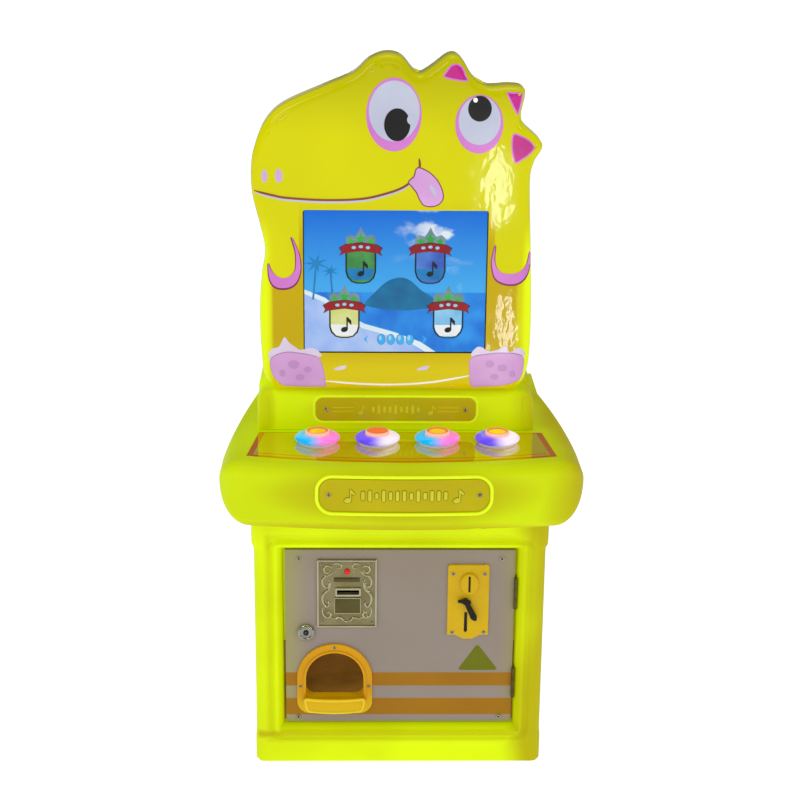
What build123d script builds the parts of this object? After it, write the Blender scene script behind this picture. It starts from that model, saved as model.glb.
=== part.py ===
"""Dance rhythm machine: a small four-button arcade cabinet with a cartoon head.

Frame: millimetres, +Z up, front faces -Y, +X to the viewer's right.
The origin is on the floor, at the middle of the cabinet's footprint.
"""

import os
from math import hypot

from build123d import *

os.makedirs("parts", exist_ok=True)

# ---------------------------------------------------------------- driving dimensions
DEPTH = 500.0                       # console front to the back
FRONT_Y, BACK_Y = -DEPTH / 2, DEPTH / 2
BACK_FACE_Y = BACK_Y - 3.0          # rear face of the base, under the screw heads

BASE_HALF_X = 234.5
BASE_FRONT_Y = -138.0
BASE_Z = (50.0, 456.0)
BASE_WALL = 5.0
BASE_FRAME_DEPTH = 24.0             # front wall, deep enough to hold the door
CORNER_R = 14.0

DOOR_X = (-186.0, 187.0)
DOOR_Z = (69.5, 376.5)
DOOR_Y = -126.0                     # front face of the door
DOOR_SKIN = 4.0
DOOR_RIM_DEPTH = 18.0
DOOR_GAP = 3.5
DOOR_SLOPE = 12.0                   # sloped border from the door out to the base face

CONSOLE_HALF_X = 282.0
CONSOLE_Z = (456.0, 562.0)
CONSOLE_BACK_HALF_X = 240.0
CONSOLE_BOW = 28.0                  # how far the front bulges at its middle
CONSOLE_WALL = 5.0
COLLAR_Z = 391.0
PANEL_THICK = 3.0

NECK_X = -8.0                       # the neck and the head stand a little to the left
NECK_HALF_X = 221.5
NECK_Y = (-76.0, 200.0)
NECK_LEDGE_Z, NECK_DECK_Z = 631.0, 645.0
NECK_STEP_Y = -23.0

HEAD_FRONT_Y, HEAD_SEAM_Y, HEAD_BACK_Y = -86.0, -26.0, 64.0
HEAD_WALL = 5.0
SCREEN_X, SCREEN_Z = -10.8, 809.5
SCREEN_SIZE = (286.5, 228.0)

BUTTON_ROW_X, BUTTON_Y, BUTTON_PITCH = 9.7, -130.0, 94.5
BUTTON_COUNT = 4
LENS_R = 36.0
BUTTON_TRAVEL = 4.0

HINGE_AXIS = (188.75, -129.5)       # of the front door, in plan
HINGE_Z = ((115.0, 169.0), (275.0, 329.0))
HINGE_R = 3.2

# Outline of the head, seen from the front, clockwise from its lower left corner.
HEAD_OUTLINE = [
    (-196, 633), (-216, 654), (-221, 690), (-223, 760), (-219, 820), (-213.5, 858),
    (-221, 898), (-232, 945), (-233.5, 985), (-228, 1018), (-213, 1054), (-185, 1081.5),
    (-124, 1109), (-78, 1129), (-54, 1150), (-28, 1160), (-4, 1155), (14, 1135),
    (26, 1130), (44, 1141), (66, 1157.5), (80, 1158), (91, 1147), (106, 1124),
    (128, 1111.5), (160, 1113), (181, 1110), (184, 1098), (179, 1071), (184, 1054),
    (209, 1031), (212.5, 1018), (201, 997), (196, 966), (200, 873), (204, 777),
    (204, 700), (199, 662), (188, 641), (170, 633),
]


# ---------------------------------------------------------------- helpers
def at_y(y):
    """The upright plane at this Y; its sketches are drawn in X and Z."""
    return Plane.XZ.offset(-y)


def block(x, y, z, mode=Mode.ADD):
    """A square-edged block between two limits on each axis."""
    with BuildSketch(Plane.XY.offset(z[0])) as footprint:
        with Locations(((x[0] + x[1]) / 2, (y[0] + y[1]) / 2)):
            Rectangle(x[1] - x[0], y[1] - y[0])
    extrude(footprint.sketch, amount=z[1] - z[0], mode=mode)


def post(x, y, radius, z, mode=Mode.ADD):
    """An upright round bar, or hole."""
    with BuildSketch(Plane.XY.offset(z[0])) as section:
        with Locations((x, y)):
            Circle(radius)
    extrude(section.sketch, amount=z[1] - z[0], mode=mode)


def pin_y(x, z, radius, y, mode=Mode.ADD):
    """A round bar, or hole, that runs from front to back."""
    with BuildSketch(at_y(y[0])) as section:
        with Locations((x, z)):
            Circle(radius)
    extrude(section.sketch, amount=y[0] - y[1], mode=mode)


def bar_x(y, z, radius, x, mode=Mode.ADD):
    """A round bar, or hole, that runs from left to right."""
    with BuildSketch(Plane.YZ.offset(x[0])) as section:
        with Locations((y, z)):
            Circle(radius)
    extrude(section.sketch, amount=x[1] - x[0], mode=mode)


def inset(points, distance):
    """Move each corner of a clockwise outline inwards, so every side shifts by distance."""
    moved = []
    count = len(points)
    for i, (x, z) in enumerate(points):
        before, after = points[i - 1], points[(i + 1) % count]
        a = (x - before[0], z - before[1])
        b = (after[0] - x, after[1] - z)
        a_len, b_len = hypot(*a), hypot(*b)
        a_in = (a[1] / a_len, -a[0] / a_len)
        b_in = (b[1] / b_len, -b[0] / b_len)
        along = (a_in[0] + b_in[0], a_in[1] + b_in[1])
        scale = 2 * distance / (along[0] ** 2 + along[1] ** 2)
        moved.append((x + along[0] * scale, z + along[1] * scale))
    return moved


def finish(builder, name):
    """Label a finished piece and write its STEP file."""
    builder.part.label = name
    export_step(builder.part, f"parts/{name}.step")


# ---------------------------------------------------------------- base
PLINTH_X, PLINTH_FRONT_Y, PLINTH_Z = 235.5, -139.0, (2.0, 50.0)
PLINTH_WALL = 6.0
PLINTH_IN_X = PLINTH_X - PLINTH_WALL
PLINTH_IN_Y = (PLINTH_FRONT_Y + PLINTH_WALL, BACK_FACE_Y - PLINTH_WALL)
BOARD_Z = (30.0, 42.0)

with BuildPart() as plinth:
    block((-PLINTH_X, PLINTH_X), (PLINTH_FRONT_Y, BACK_FACE_Y), PLINTH_Z)
    fillet(plinth.edges().filter_by(Axis.Z), CORNER_R)
    fillet(plinth.faces().sort_by(Axis.Z)[-1].edges(), 2.0)
    block((-PLINTH_IN_X, PLINTH_IN_X), PLINTH_IN_Y, PLINTH_Z, Mode.SUBTRACT)
finish(plinth, "plinth")

with BuildPart() as floor_board:
    block((-PLINTH_IN_X, PLINTH_IN_X), PLINTH_IN_Y, BOARD_Z)
finish(floor_board, "floor_board")

FOOT_X, FOOT_Y = 200.0, (-105.0, 212.0)
with BuildPart() as levelling_feet:
    for x in (-FOOT_X, FOOT_X):
        for y in FOOT_Y:
            post(x, y, 18.0, (0.0, 6.0))
            post(x, y, 5.0, (6.0, BOARD_Z[0]))
finish(levelling_feet, "levelling_feet")

OPENING_X = (DOOR_X[0] - DOOR_GAP, DOOR_X[1] + DOOR_GAP)
OPENING_Z = (DOOR_Z[0] - 3.0, DOOR_Z[1] + 3.0)
OPENING_MID = (sum(OPENING_X) / 2, sum(OPENING_Z) / 2)
OPENING_SIZE = (OPENING_X[1] - OPENING_X[0], OPENING_Z[1] - OPENING_Z[0])
REAR_OPENING_X, REAR_OPENING_Z = (-150.0, 150.0), (112.0, 378.0)
INLET_X, INLET_Z = (172.0, 200.0), (64.0, 112.0)
GROOVE_HALF_X, GROOVE_TOP_Z = 216.0, 406.0

with BuildPart() as base_shell:
    block((-BASE_HALF_X, BASE_HALF_X), (BASE_FRONT_Y, BACK_FACE_Y), BASE_Z)
    fillet(base_shell.edges().filter_by(Axis.Z), CORNER_R)
    inner_x = BASE_HALF_X - BASE_WALL
    inner_y = (BASE_FRONT_Y + BASE_FRAME_DEPTH, BACK_FACE_Y - BASE_WALL)
    block((-inner_x, inner_x), inner_y, BASE_Z, Mode.SUBTRACT)
    # The doorway, and its border that slopes out to the front face.
    with BuildSketch(at_y(DOOR_Y)):
        with Locations(OPENING_MID):
            Rectangle(*OPENING_SIZE)
    extrude(amount=-30.0, mode=Mode.SUBTRACT)
    with BuildSketch(at_y(DOOR_Y)):
        with Locations(OPENING_MID):
            Rectangle(*OPENING_SIZE)
    extrude(amount=DOOR_SLOPE, taper=-45, mode=Mode.SUBTRACT)
    # A shallow groove frames the doorway at its sides and top.
    with BuildSketch(at_y(BASE_FRONT_Y)):
        with BuildLine():
            Polyline((-GROOVE_HALF_X, BASE_Z[0] - 20), (-GROOVE_HALF_X, GROOVE_TOP_Z),
                     (GROOVE_HALF_X, GROOVE_TOP_Z), (GROOVE_HALF_X, BASE_Z[0] - 20), close=True)
        make_face()
        offset(amount=-3.0, mode=Mode.SUBTRACT)
    extrude(amount=-1.5, mode=Mode.SUBTRACT)
    rear_y = (BACK_FACE_Y - 10, BACK_FACE_Y + 5)
    block(REAR_OPENING_X, rear_y, REAR_OPENING_Z, Mode.SUBTRACT)
    block(INLET_X, rear_y, INLET_Z, Mode.SUBTRACT)
finish(base_shell, "base_shell")

COVER_MARGIN = 10.0
COVER_X = (REAR_OPENING_X[0] - COVER_MARGIN, REAR_OPENING_X[1] + COVER_MARGIN)
COVER_Z = (REAR_OPENING_Z[0] - COVER_MARGIN, REAR_OPENING_Z[1] + COVER_MARGIN)
COVER_Y = (BACK_FACE_Y, BACK_FACE_Y + 1.5)
with BuildPart() as rear_cover:
    block(COVER_X, COVER_Y, COVER_Z)
    with BuildSketch(at_y(COVER_Y[0] - 1)):
        for x_mid in (-75.0, 75.0):
            with Locations((x_mid, 300.0)):
                with GridLocations(0, 12.0, 1, 7):
                    SlotOverall(90.0, 5.0)
    extrude(amount=-5.0, mode=Mode.SUBTRACT)
finish(rear_cover, "rear_cover")



# ---------------------------------------------------------------- console and neck
def console_plan(margin):
    """The console seen from above: bowed front, rounded corners, sides that taper back."""
    # A little wider than the front profile, which sets the width.
    half, back_half = CONSOLE_HALF_X + 1.5 - margin, CONSOLE_BACK_HALF_X - margin
    front, back = FRONT_Y + margin, BACK_Y - margin
    with BuildLine() as outline:
        bow = ThreePointArc((-half, front + CONSOLE_BOW), (0, front), (half, front + CONSOLE_BOW))
        Polyline(bow @ 1, (half, FRONT_Y + 84), (back_half, 130), (back_half, back),
                 (-back_half, back), (-back_half, 130), (-half, FRONT_Y + 84), bow @ 0)
    make_face(outline.edges())


def console_profile(margin):
    """The console seen from the front: a flat top and bottom with big rounded ends."""
    low, high = CONSOLE_Z[0] + margin, CONSOLE_Z[1] - margin
    half, foot, lid = CONSOLE_HALF_X - margin, 235.0 - margin, 244.0
    middle = 524.0
    with BuildLine() as outline:
        Line((-foot, low), (foot, low))
        EllipticalCenterArc((foot, middle), half - foot, middle - low, -90, arc_size=90)
        upper = EllipticalCenterArc((lid, middle), half - lid, high - middle, 0, arc_size=90)
        Line(upper @ 1, (-lid, high))
        EllipticalCenterArc((-lid, middle), half - lid, high - middle, 90, arc_size=90)
        EllipticalCenterArc((-foot, middle), half - foot, middle - low, 180, arc_size=90)
    make_face(outline.edges())


def console_tray(margin):
    """The console's volume, with every face moved in by the margin."""
    with BuildPart() as tray:
        with BuildSketch(Plane.XY.offset(CONSOLE_Z[0] - 5)):
            console_plan(margin)
        extrude(amount=CONSOLE_Z[1] - CONSOLE_Z[0] + 10)
        corners = tray.edges().filter_by(Axis.Z).group_by(Axis.Y)[0]
        fillet(corners, 44.0 - margin)
        with BuildSketch(at_y(FRONT_Y - 5)):
            console_profile(margin)
        extrude(amount=-(DEPTH + 10), mode=Mode.INTERSECT)
    return tray


def neck_block(margin, bottom):
    """The neck's volume: a low ledge in front for the head, a higher deck behind."""
    with BuildPart() as neck:
        x = (NECK_X - NECK_HALF_X + margin, NECK_X + NECK_HALF_X - margin)
        y = (NECK_Y[0] + margin, NECK_Y[1] - margin)
        block(x, y, (bottom, NECK_DECK_Z - margin))
        top_sides = neck.faces().sort_by(Axis.Z)[-1].edges().filter_by(Axis.Y)
        fillet(top_sides, 26.0 - margin)
        fillet(neck.faces().sort_by(Axis.Y)[-1].edges().filter_by(Axis.Z), 20.0 - margin)
        ledge = NECK_LEDGE_Z - margin
        block(x, (y[0] - 5, NECK_STEP_Y + margin), (ledge, NECK_DECK_Z), Mode.SUBTRACT)
    return neck


PANEL_BACK_Y, PANEL_FRONT_CORNER_Y, PANEL_FRONT_Y = -81.0, -196.0, -226.0
PANEL_BACK_HALF_X, PANEL_FRONT_HALF_X = 227.0, 240.0


def panel_outline(margin):
    """The control panel from above: straight back edge, slanted sides, bowed front."""
    back, corner = PANEL_BACK_Y - margin, PANEL_FRONT_CORNER_Y + margin
    back_half, front_half = PANEL_BACK_HALF_X - margin, PANEL_FRONT_HALF_X - margin
    with BuildLine() as outline:
        bow = ThreePointArc((-front_half, corner), (0, PANEL_FRONT_Y + margin), (front_half, corner))
        Polyline(bow @ 1, (back_half, back), (-back_half, back), bow @ 0)
    make_face(outline.edges())


PLAQUE_X, PLAQUE_SIZE, PLAQUE_Z = 3.0, (258.0, 51.0), 516.5
NECK_PLAQUE_SIZE, NECK_PLAQUE_Z = (256.0, 38.0), 599.0
BOW_R = (CONSOLE_HALF_X ** 2 + CONSOLE_BOW ** 2) / (2 * CONSOLE_BOW)


def front_band(depth_out, depth_in, x_mid, z_mid, size, corner):
    """A rounded plate curved to the console's front, between two depths below its face."""
    with BuildPart() as band:
        with BuildSketch(Plane.XY.offset(z_mid - size[1] / 2)):
            with Locations((0, FRONT_Y + BOW_R)):
                Circle(BOW_R - depth_out)
                Circle(BOW_R - depth_in, mode=Mode.SUBTRACT)
        extrude(amount=size[1])
        with BuildSketch(at_y(FRONT_Y - 5)):
            with Locations((x_mid, z_mid)):
                RectangleRounded(*size, corner)
        extrude(amount=-60.0, mode=Mode.INTERSECT)
    return band


CABLE_HOLE_X, CABLE_HOLE_Y = (30.0, 90.0), (8.0, 58.0)
tray_solid, tray_space = console_tray(0.0), console_tray(CONSOLE_WALL)
neck_solid, neck_space = neck_block(0.0, CONSOLE_Z[1]), neck_block(4.0, CONSOLE_Z[1] - 20)
plaque_recess = front_band(-3.0, 3.0, PLAQUE_X, PLAQUE_Z, (PLAQUE_SIZE[0] + 6, PLAQUE_SIZE[1] + 6), 22.0)

# The collar drops over the top of the base and carries the console.
with BuildPart() as console_collar:
    block((-239.0, 239.0), (BASE_FRONT_Y - 4, BACK_Y), (COLLAR_Z, CONSOLE_Z[0]))
    fillet(console_collar.edges().filter_by(Axis.Z), 8.0)
    block((-235.0, 235.0), (BASE_FRONT_Y - 0.5, BACK_FACE_Y + 0.5), (COLLAR_Z - 1, CONSOLE_Z[0] + 1),
          Mode.SUBTRACT)
finish(console_collar, "console_collar")

with BuildPart() as console_shell:
    add(tray_solid.part)
    top_front = console_shell.faces().sort_by(Axis.Z)[-1].edges().sort_by(Axis.Y)[0]
    fillet(top_front, 16.0)
    add(tray_space.part, mode=Mode.SUBTRACT)
    add(neck_space.part, mode=Mode.SUBTRACT)
    well_z = (CONSOLE_Z[0] - 1, CONSOLE_Z[0] + 12)
    block((-224.0, 224.0), (BASE_FRONT_Y + 30, BACK_FACE_Y - 12), well_z, Mode.SUBTRACT)
    # Seat and opening for the control panel.
    with BuildSketch(Plane.XY.offset(CONSOLE_Z[1] - PANEL_THICK)):
        panel_outline(0.0)
    extrude(amount=20.0, mode=Mode.SUBTRACT)
    with BuildSketch(Plane.XY.offset(CONSOLE_Z[1] - 12.0)):
        panel_outline(14.0)
    extrude(amount=12.0, mode=Mode.SUBTRACT)
    add(plaque_recess.part, mode=Mode.SUBTRACT)
finish(console_shell, "console_shell")

with BuildPart() as neck_shell:
    add(neck_solid.part)
    add(neck_space.part, mode=Mode.SUBTRACT)
    block(CABLE_HOLE_X, CABLE_HOLE_Y, (NECK_DECK_Z - 6, NECK_DECK_Z + 2), Mode.SUBTRACT)
    # Shallow recess for the neck plaque.
    with BuildSketch(at_y(NECK_Y[0])):
        with Locations((NECK_X, NECK_PLAQUE_Z)):
            RectangleRounded(NECK_PLAQUE_SIZE[0] + 4, NECK_PLAQUE_SIZE[1] + 4, 13.0)
    extrude(amount=-1.5, mode=Mode.SUBTRACT)
finish(neck_shell, "neck_shell")

BUTTON_XS = [BUTTON_ROW_X + BUTTON_PITCH * (i - (BUTTON_COUNT - 1) / 2) for i in range(BUTTON_COUNT)]
HOUSING_R = 14.0

with BuildPart() as control_panel:
    with BuildSketch(Plane.XY.offset(CONSOLE_Z[1] - PANEL_THICK)):
        panel_outline(1.0)
        with Locations(*[(x, BUTTON_Y) for x in BUTTON_XS]):
            Circle(HOUSING_R + 0.5, mode=Mode.SUBTRACT)
    extrude(amount=PANEL_THICK)
finish(control_panel, "control_panel")

PLAQUE_SCREW_X, NECK_SCREW_X = 115.0, 111.2
console_plaque = front_band(0.3, 2.9, PLAQUE_X, PLAQUE_Z, PLAQUE_SIZE, 20.0)
with console_plaque:
    for side in (-1, 1):
        pin_y(PLAQUE_X + side * PLAQUE_SCREW_X, PLAQUE_Z, 2.0, (FRONT_Y - 5, FRONT_Y + 30), Mode.SUBTRACT)
finish(console_plaque, "console_plaque")

with BuildPart() as neck_plaque:
    with BuildSketch(at_y(NECK_Y[0] + 1.4)):
        with Locations((NECK_X, NECK_PLAQUE_Z)):
            RectangleRounded(*NECK_PLAQUE_SIZE, 12.0)
    extrude(amount=3.4)
    for side in (-1, 1):
        screw_at = (NECK_X + side * NECK_SCREW_X, NECK_PLAQUE_Z)
        pin_y(*screw_at, 2.0, (NECK_Y[0] - 5, NECK_Y[0] + 5), Mode.SUBTRACT)
finish(neck_plaque, "neck_plaque")

HEAD_R, SHANK_R = 3.6, 1.8


def bow_y(x):
    """Where the console's bowed front is at this X."""
    return FRONT_Y + BOW_R - (BOW_R ** 2 - x ** 2) ** 0.5


with BuildPart() as plaque_screws:
    for side in (-1, 1):
        screw_x = PLAQUE_X + side * PLAQUE_SCREW_X
        seat = bow_y(abs(screw_x) - HEAD_R) + 0.25
        pin_y(screw_x, PLAQUE_Z, HEAD_R, (seat - 2.0, seat))
        pin_y(screw_x, PLAQUE_Z, SHANK_R, (seat, seat + 2.2))
        screw_x = NECK_X + side * NECK_SCREW_X
        seat = NECK_Y[0] - 2.0
        pin_y(screw_x, NECK_PLAQUE_Z, HEAD_R, (seat - 2.0, seat))
        pin_y(screw_x, NECK_PLAQUE_Z, SHANK_R, (seat, seat + 3.2))
finish(plaque_screws, "plaque_screws")

# ---------------------------------------------------------------- buttons
PANEL_TOP = CONSOLE_Z[1]
FLANGE_R, FLANGE_TOP = 29.0, PANEL_TOP + 3.0
HOUSING_LOW = 520.0
STEM_R = 8.0
SKIRT_LOW = PANEL_TOP + BUTTON_TRAVEL + 0.6
LENS_TOP = PANEL_TOP + 17.0
CAP_R, CAP_RING_R = 18.5, 19.5

with BuildPart() as button_housings:
    for x in BUTTON_XS:
        post(x, BUTTON_Y, FLANGE_R, (PANEL_TOP, FLANGE_TOP))
        post(x, BUTTON_Y, HOUSING_R, (HOUSING_LOW, FLANGE_TOP))
        post(x, BUTTON_Y, STEM_R + 0.08, (HOUSING_LOW, FLANGE_TOP), Mode.SUBTRACT)
finish(button_housings, "button_housings")

with BuildPart() as button_nuts:
    for x in BUTTON_XS:
        with BuildSketch(Plane.XY.offset(PANEL_TOP - PANEL_THICK - 8.0)):
            with Locations((x, BUTTON_Y)):
                RegularPolygon(20.0, 6)
                Circle(HOUSING_R, mode=Mode.SUBTRACT)
        extrude(amount=8.0)
finish(button_nuts, "button_nuts")

with BuildPart() as button_switches:
    for x in BUTTON_XS:
        block((x - 14, x + 14), (BUTTON_Y - 8, BUTTON_Y + 8), (HOUSING_LOW - 18, HOUSING_LOW))
        block((x - 10, x - 7), (BUTTON_Y - 2, BUTTON_Y + 2), (HOUSING_LOW - 26, HOUSING_LOW - 18))
        block((x + 7, x + 10), (BUTTON_Y - 2, BUTTON_Y + 2), (HOUSING_LOW - 26, HOUSING_LOW - 18))
finish(button_switches, "button_switches")

for number, x in enumerate(BUTTON_XS, start=1):
    # The lens is a flattened saucer, hollow underneath, with a guide stem at its middle.
    with BuildPart() as lens:
        with BuildSketch(Plane.XZ):
            with BuildLine():
                rim = (LENS_R, SKIRT_LOW + 2.4)
                Polyline((0, LENS_TOP - 3), (CAP_RING_R, LENS_TOP - 3))
                Spline((CAP_RING_R, LENS_TOP - 3), (CAP_RING_R + 6, LENS_TOP - 3.8),
                       (LENS_R - 3.5, SKIRT_LOW + 6.4), rim)
                Polyline(rim, (LENS_R - 1.6, SKIRT_LOW), (LENS_R - 4, SKIRT_LOW), (LENS_R - 5, SKIRT_LOW + 4),
                         (STEM_R + 8, LENS_TOP - 6), (STEM_R, LENS_TOP - 6), (STEM_R, HOUSING_LOW + 5),
                         (0, HOUSING_LOW + 5), (0, LENS_TOP - 3))
            make_face()
        revolve(axis=Axis.Z)
    lens.part = lens.part.moved(Location((x, BUTTON_Y, 0)))
    finish(lens, f"button_{number}_lens")

    with BuildPart() as cap:
        post(x, BUTTON_Y, CAP_R, (LENS_TOP - 3, LENS_TOP))
        fillet(cap.faces().sort_by(Axis.Z)[-1].edges(), 1.5)
        post(x, BUTTON_Y, 13.5, (LENS_TOP - 0.8, LENS_TOP), Mode.SUBTRACT)
    finish(cap, f"button_{number}_cap")

    SPRING_R, WIRE_R = 11.0, 0.7
    spring_z = (FLANGE_TOP + WIRE_R, LENS_TOP - 6 - WIRE_R)
    with BuildPart() as spring:
        with BuildLine():
            coil = Helix(pitch=(spring_z[1] - spring_z[0]) / 3, height=spring_z[1] - spring_z[0],
                         radius=SPRING_R, center=(x, BUTTON_Y, spring_z[0]))
        with BuildSketch(Plane(origin=coil @ 0, z_dir=coil % 0)):
            Circle(WIRE_R - 0.1)
        sweep(is_frenet=True)
    finish(spring, f"button_{number}_spring")

# ---------------------------------------------------------------- head
RIM_STEPS = ((HEAD_FRONT_Y, 12.0), (HEAD_FRONT_Y + 4, 5.0), (HEAD_FRONT_Y + 13, 0.5), (HEAD_SEAM_Y, 0.0))

def outline_section(y, margin):
    """The head's outline at this Y, moved inwards by the margin."""
    with BuildSketch(at_y(y)) as section:
        with BuildLine():
            Polyline(*inset(HEAD_OUTLINE, margin), close=True)
        make_face()
    return section.sketch


with BuildPart() as head_front:
    for near, far in zip(RIM_STEPS, RIM_STEPS[1:]):
        loft(sections=[outline_section(*near), outline_section(*far)], ruled=True)
    skin_back = HEAD_FRONT_Y + HEAD_WALL
    extrude(outline_section(skin_back, 13.0), amount=-5.0, mode=Mode.SUBTRACT)
    extrude(outline_section(skin_back + 5, 7.0), amount=-60.0, mode=Mode.SUBTRACT)
    with BuildSketch(at_y(HEAD_FRONT_Y - 5)):
        with Locations((SCREEN_X, SCREEN_Z)):
            Rectangle(*SCREEN_SIZE)
    extrude(amount=-20.0, mode=Mode.SUBTRACT)
finish(head_front, "head_front")

REAR_OUTLINE = [
    (-203, 645), (-205, 1000), (-165, 1068), (-60, 1112), (70, 1118), (158, 1088), (178, 1010), (180, 645),
]
FLANGE_THICK, REAR_WALL = 4.0, 4.0
GRILLE_Z, SPEAKER_XS = 975.0, (-100.0, 78.0)
VENT_Z = 760.0


def rear_outline(margin):
    """The rear shell of the head from the front, with rounded upper corners."""
    with BuildSketch(at_y(HEAD_SEAM_Y)) as face:
        with BuildLine():
            Polyline(*inset(REAR_OUTLINE, margin), close=True)
        make_face()
        fillet(face.vertices().group_by(Axis.Z)[1:], 30.0 - margin)
    return face.sketch


with BuildPart() as head_back:
    extrude(outline_section(HEAD_SEAM_Y, 1.0), amount=-FLANGE_THICK)
    # The flange stops at the deck of the neck, on which the rear shell stands.
    block((-240, 240), (HEAD_SEAM_Y - 1, HEAD_SEAM_Y + 10), (600.0, NECK_DECK_Z), Mode.SUBTRACT)
    extrude(rear_outline(0.0), amount=HEAD_SEAM_Y - HEAD_BACK_Y)
    fillet(head_back.faces().sort_by(Axis.Y)[-1].edges().sort_by(Axis.Z)[1:], 14.0)
    extrude(rear_outline(REAR_WALL), amount=HEAD_SEAM_Y - HEAD_BACK_Y + REAR_WALL, mode=Mode.SUBTRACT)
    block(CABLE_HOLE_X, CABLE_HOLE_Y, (NECK_DECK_Z - 1, NECK_DECK_Z + 6), Mode.SUBTRACT)
    with BuildSketch(at_y(HEAD_BACK_Y - 10)):
        for x_mid in SPEAKER_XS:
            with Locations((x_mid, GRILLE_Z)):
                with GridLocations(0, 12.0, 1, 5):
                    SlotOverall(56.0, 5.0)
        with Locations((SCREEN_X, VENT_Z)):
            with GridLocations(0, 14.0, 1, 6):
                SlotOverall(150.0, 6.0)
    extrude(amount=-20.0, mode=Mode.SUBTRACT)
finish(head_back, "head_back")

HEAD_SCREWS_AT = (
    (-213, 760), (-218, 960), (-150, 1085), (195, 760), (190, 940), (150, 1102), (-28, 1145), (66, 1143),
)
REAR_SCREW_R, REAR_SCREW_HEAD = 3.5, 1.5
FLANGE_BACK_Y = HEAD_SEAM_Y + FLANGE_THICK

# The same screw holds the rear cover and the rear half of the head.
with BuildPart() as rear_screws:
    for x in (COVER_X[0] + 5, 0.0, COVER_X[1] - 5):
        for z in (COVER_Z[0] + 5, COVER_Z[1] - 5):
            pin_y(x, z, REAR_SCREW_R, (COVER_Y[1], COVER_Y[1] + REAR_SCREW_HEAD))
    for x, z in HEAD_SCREWS_AT:
        pin_y(x, z, REAR_SCREW_R, (FLANGE_BACK_Y, FLANGE_BACK_Y + REAR_SCREW_HEAD))
finish(rear_screws, "rear_screws")

GLASS_MARGIN, GLASS_THICK = 8.0, 3.0
GLASS_Y = (HEAD_FRONT_Y + HEAD_WALL, HEAD_FRONT_Y + HEAD_WALL + GLASS_THICK)
LCD_SIZE = (326.0, 253.0)
LCD_Y = (GLASS_Y[1], GLASS_Y[1] + 12.0)
BRACKET_SIZE, BRACKET_THICK = (360.0, 290.0), 2.0
BRACKET_Y = (LCD_Y[1], LCD_Y[1] + BRACKET_THICK)


def screen_block(size, y):
    """A rectangular plate centred on the screen."""
    half_x, half_z = size[0] / 2, size[1] / 2
    block((SCREEN_X - half_x, SCREEN_X + half_x), y, (SCREEN_Z - half_z, SCREEN_Z + half_z))


with BuildPart() as screen_glass:
    screen_block((SCREEN_SIZE[0] + 2 * GLASS_MARGIN, SCREEN_SIZE[1] + 2 * GLASS_MARGIN), GLASS_Y)
finish(screen_glass, "screen_glass")

with BuildPart() as lcd_panel:
    screen_block(LCD_SIZE, LCD_Y)
finish(lcd_panel, "lcd_panel")

with BuildPart() as lcd_bracket:
    with BuildSketch(at_y(BRACKET_Y[0])):
        with Locations((SCREEN_X, SCREEN_Z)):
            Rectangle(*BRACKET_SIZE)
            Rectangle(120.0, 120.0, mode=Mode.SUBTRACT)
    extrude(amount=-BRACKET_THICK)
    for side in (-1, 1):
        for height in (-1, 1):
            post_at = (SCREEN_X + side * 172.0, SCREEN_Z + height * 138.0)
            pin_y(*post_at, 5.0, (GLASS_Y[0], BRACKET_Y[0]))
finish(lcd_bracket, "lcd_bracket")

BOARD_X, BOARD_Y, BOARD_UP = (-90.0, 80.0), (BRACKET_Y[1] + 6.0, BRACKET_Y[1] + 7.6), (740.0, 880.0)
with BuildPart() as main_board:
    block(BOARD_X, BOARD_Y, BOARD_UP)
    for x in (BOARD_X[0] + 6, BOARD_X[1] - 6):
        for z in (BOARD_UP[0] + 4, BOARD_UP[1] - 4):
            pin_y(x, z, 3.0, (BRACKET_Y[1], BOARD_Y[0]))
    block((-50, -10), (BOARD_Y[1], BOARD_Y[1] + 8), (800, 840))
    block((20, 60), (BOARD_Y[1], BOARD_Y[1] + 3), (790, 815))
    block((-80, 0), (BOARD_Y[1], BOARD_Y[1] + 10), (746, 754))
finish(main_board, "main_board")

with BuildPart() as speakers:
    inner_face = HEAD_BACK_Y - REAR_WALL
    for x in SPEAKER_XS:
        pin_y(x, GRILLE_Z, 38.0, (inner_face - 4, inner_face))
        pin_y(x, GRILLE_Z, 34.0, (inner_face - 4, inner_face), Mode.SUBTRACT)
        with BuildSketch(at_y(inner_face - 4)) as mouth:
            with Locations((x, GRILLE_Z)):
                Circle(36.0)
        with BuildSketch(at_y(inner_face - 26)) as throat:
            with Locations((x, GRILLE_Z)):
                Circle(20.0)
        loft(sections=[mouth.sketch, throat.sketch])
        pin_y(x, GRILLE_Z, 23.0, (inner_face - 36, inner_face - 26))
finish(speakers, "speakers")

# ---------------------------------------------------------------- front door
DOOR_INNER = DOOR_Y + DOOR_SKIN
DOOR_BACK = DOOR_Y + DOOR_RIM_DEPTH

TICKET_X, TICKET_Z = (-134.0, -37.0), (241.5, 360.5)
TICKET_SLOT = (-83.7, 304.3)
TICKET_SLOT_SIZE, BEZEL_SIZE = (36.0, 8.0), (42.0, 15.0)
LED_AT = (-85.1, 339.5)

COIN_X, COIN_Z = (78.0, 145.5), (228.0, 352.0)
COIN_SLOT = (113.0, 319.9)
COIN_SLOT_SIZE = (3.5, 28.0)
LEVER_AT = (107.0, 289.5)
LEVER_SHAFT_R = 3.0
RETURN_SLIT = (108.5, 250.0)

LOCK_AT = (-152.4, 231.9)
LOCK_BARREL_R, LOCK_FLANGE_R, PLUG_R = 9.5, 14.0, 6.0

OUTLET_X, OUTLET_LOW, OUTLET_R = -105.7, 85.4, 62.0
OUTLET_TOP = 211.2
MOUTH_R, MOUTH_LOW, MOUTH_TOP = 48.5, 115.4, 196.4


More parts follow.
